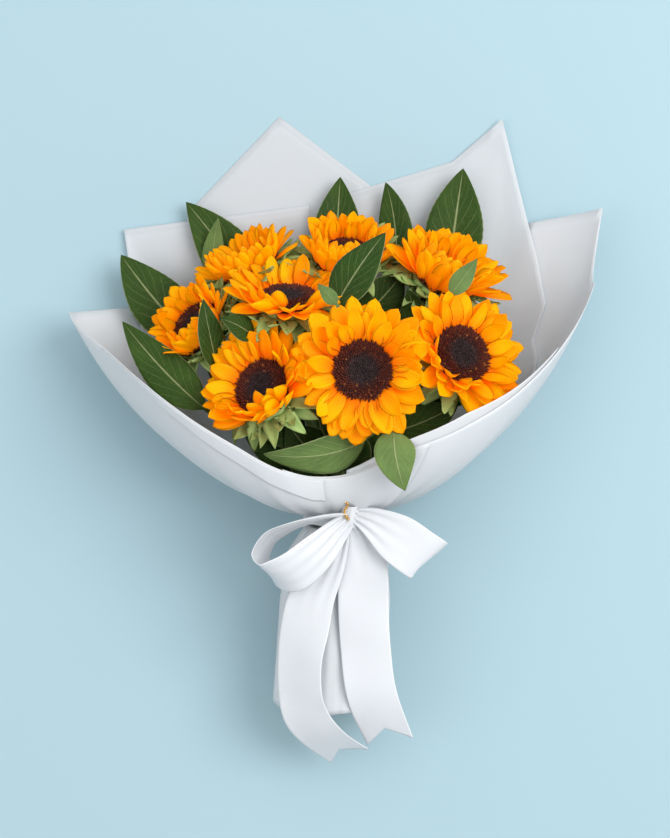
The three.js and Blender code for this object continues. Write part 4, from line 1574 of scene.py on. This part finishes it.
class SUNFLOWERS_OT_ribbon(bpy.types.Operator):
    """Builds the satin bow: waist band, knot, two loops and two tails"""

    bl_idname = "sunflowers.ribbon"
    bl_label = "Satin Bow"

    def execute(self, context):
        bow = context.scene.sunflower_bow
        material = painted("satin_ribbon", satin_material, bow)
        width = bow.ribbon_width / MM
        strips = {
            "loop_left": ([(KNOT + p, s, d) for p, s, d in LEFT_LOOP], 0.0),
            "loop_right": ([(KNOT + p, s, d) for p, s, d in RIGHT_LOOP], 0.0),
            "tail_left": ([(over_handle(*p), s, d) for p, s, d in LEFT_TAIL], bow.notch / MM),
            "tail_right": ([(over_handle(*p), s, d) for p, s, d in RIGHT_TAIL], bow.notch / MM),
        }
        for name, (stations, notch) in strips.items():
            grid = place(ribbon_grid(stations, width, 72, 24, 2.2, notch))
            piece = link(plate(grid, bow.ribbon_thickness), "satin_" + name)
            finish(piece, material, "ribbon", "ribbon_" + name)
        waist = place(grid_round(96, 12, waist_point))
        band = link(plate(waist, bow.ribbon_thickness, ring=True), "satin_waist")
        finish(band, material, "ribbon", "ribbon_waist")
        knot_grid = place(grid_round(60, 20, knot_point))
        knot = link(plate(knot_grid, bow.ribbon_thickness, ring=True), "satin_knot")
        finish(knot, material, "ribbon", "ribbon_knot")
        return {"FINISHED"}


# The wire's way past the knot, in design millimetres beside it, and how far each strand is from it.
WIRE_PATH = [(-2, -3, 8), (-6, 2, 10), (-6, 7, 11), (-3, 12, 10), (-6, 15, 9)]
WIRE_TWIST_RADIUS = 0.8
WIRE_HALF_TURNS = 9


class SUNFLOWERS_OT_wire(bpy.types.Operator):
    """Builds the two twisted strands of gold wire that hold the bow"""

    bl_idname = "sunflowers.wire"
    bl_label = "Bow Wire"

    def execute(self, context):
        bow = context.scene.sunflower_bow
        line = spline(WIRE_PATH, 60) + KNOT
        tangent = unit(np.gradient(line, axis=0))
        side = unit(np.cross(tangent, ABOVE))
        other = np.cross(tangent, side)
        strands = []
        for start in (0.0, math.pi):
            angle = start + np.linspace(0, WIRE_HALF_TURNS * math.pi, len(line))[:, None]
            path = line + WIRE_TWIST_RADIUS * (np.cos(angle) * side + np.sin(angle) * other)
            strands.append(tube(place(path), bow.wire_radius, 8))
        piece = link(joined(strands), "gold_wire")
        finish(piece, painted("gold_wire", wire_material, bow), "wire", "bow_wire")
        return {"FINISHED"}


# The wound twine, in metres.
TWINE_RING_RADIUS = 0.0235
TWINE_BAND_HEIGHT = 0.008


class SUNFLOWERS_OT_twine(bpy.types.Operator):
    """Winds the twine round the stems, inside the wrap"""

    bl_idname = "sunflowers.twine"
    bl_label = "Binding Twine"

    def execute(self, context):
        bow = context.scene.sunflower_bow
        material = painted("twine", twine_material, bow)
        values = {
            "Ring Radius": TWINE_RING_RADIUS,
            "Band Height": TWINE_BAND_HEIGHT,
            "Turns": 4.0,
            "Twine Radius": bow.twine_radius,
            "Material": material,
        }
        piece = grown(twine_tree(), values, "wound_twine")
        turn = Vector((0, 0, 1)).rotation_difference(Vector(AXIS)).to_matrix().to_4x4()
        middle = Vector(place(TIE - AXIS * TWINE_BAND_HEIGHT / MM / 2))
        piece.data.transform(Matrix.Translation(middle) @ turn)
        finish(piece, material, "twine", "stem_binding")
        return {"FINISHED"}


# ---------------------------------------------------------------- stage

FLOOR_BLUE = (0.365, 0.507, 0.558)
FLOOR_HALF = 3.0
FLOOR_LEVEL = -0.0004
WORLD_SHADE = (0.93, 0.96, 1.0, 1.0)
WORLD_STRENGTH = 0.75
CAMERA_PLACE = (-1.5, 21.0, 2400.0)
LIGHT_TARGET = (0, 40, 60)
# Height of the view at a distance of one.
VIEW_HEIGHT_AT_ONE = 838 / 2300
SENSOR_HEIGHT = 36.0

# Name, direction the light comes from, distance in metres, size in metres and power in watts.
LIGHTS = [
    ("key", (0.7, 0.25, 1.0), 3.2, 2.4, 80.0),
    ("fill", (-0.8, -0.2, 1.0), 3.2, 2.6, 18.0),
    ("top", (0.0, 0.9, 1.2), 3.2, 2.2, 14.0),
]


class SUNFLOWERS_OT_stage(bpy.types.Operator):
    """Sets up the camera, soft light and pale floor"""

    bl_idname = "sunflowers.stage"
    bl_label = "Stage"

    def execute(self, context):
        scene = context.scene
        lens = bpy.data.cameras.new("camera")
        lens.sensor_fit = "VERTICAL"
        lens.sensor_height = SENSOR_HEIGHT
        lens.lens = SENSOR_HEIGHT / VIEW_HEIGHT_AT_ONE
        camera = bpy.data.objects.new("camera", lens)
        camera.location = place(CAMERA_PLACE)
        scene.collection.objects.link(camera)
        scene.camera = camera
        target = Vector(place(LIGHT_TARGET))
        for name, direction, distance, across, power in LIGHTS:
            lamp = bpy.data.lights.new(name, "AREA")
            lamp.shape = "DISK"
            lamp.size = across
            lamp.energy = power
            holder = bpy.data.objects.new(name, lamp)
            away = Vector(direction).normalized()
            holder.location = target + away * distance
            holder.rotation_euler = away.to_track_quat("Z", "Y").to_euler()
            scene.collection.objects.link(holder)
        world = bpy.data.worlds.new("studio")
        world.use_nodes = True
        world.node_tree.nodes.clear()
        graph = Graph(world.node_tree)
        sky = graph.add("ShaderNodeBackground", inputs={"Color": WORLD_SHADE, "Strength": WORLD_STRENGTH})
        graph.add("ShaderNodeOutputWorld", inputs={"Surface": sky})
        scene.world = world
        scene.view_settings.view_transform = "Standard"
        ways = ((-1, -1), (1, -1), (1, 1), (-1, 1))
        corners = [(x * FLOOR_HALF, y * FLOOR_HALF, FLOOR_LEVEL) for x, y in ways]
        floor = link(mesh_from(corners, [[0, 1, 2, 3]]), "floor")
        floor.data.materials.append(painted("pale_floor", floor_material))
        return {"FINISHED"}


class SUNFLOWERS_PT_panel(bpy.types.Panel):
    """The bunch's sizes, colours and pieces"""

    bl_idname = "SUNFLOWERS_PT_panel"
    bl_label = "Bunch of Sunflowers"
    bl_space_type = "VIEW_3D"
    bl_region_type = "UI"
    bl_category = "Sunflowers"

    def draw(self, context):
        layout = self.layout
        for group in SETTINGS:
            held = getattr(context.scene, group)
            box = layout.box()
            for name in held.bl_rna.properties.keys():
                if name not in ("rna_type", "name"):
                    box.prop(held, name)
        for operator in OPERATORS:
            layout.operator(operator.bl_idname)


SETTINGS = {
    "sunflower_flower": FlowerSettings,
    "sunflower_leaf": LeafSettings,
    "sunflower_wrap": WrapSettings,
    "sunflower_bow": BowSettings,
}
OPERATORS = [
    SUNFLOWERS_OT_stage,
    SUNFLOWERS_OT_petals,
    SUNFLOWERS_OT_florets,
    SUNFLOWERS_OT_calyxes,
    SUNFLOWERS_OT_stems,
    SUNFLOWERS_OT_leaves,
    SUNFLOWERS_OT_stem_leaves,
    SUNFLOWERS_OT_wrap,
    SUNFLOWERS_OT_sleeve,
    SUNFLOWERS_OT_ribbon,
    SUNFLOWERS_OT_wire,
    SUNFLOWERS_OT_twine,
]


def register():
    for kind in (*SETTINGS.values(), *OPERATORS, SUNFLOWERS_PT_panel):
        bpy.utils.register_class(kind)
    for name, kind in SETTINGS.items():
        setattr(bpy.types.Scene, name, PointerProperty(type=kind))


def unregister():
    for name in SETTINGS:
        delattr(bpy.types.Scene, name)
    for kind in (SUNFLOWERS_PT_panel, *reversed(OPERATORS), *SETTINGS.values()):
        bpy.utils.unregister_class(kind)


def main():
    register()
    for operator in OPERATORS:
        group, name = operator.bl_idname.split(".")
        getattr(getattr(bpy.ops, group), name)()


if __name__ == "__main__":
    main()
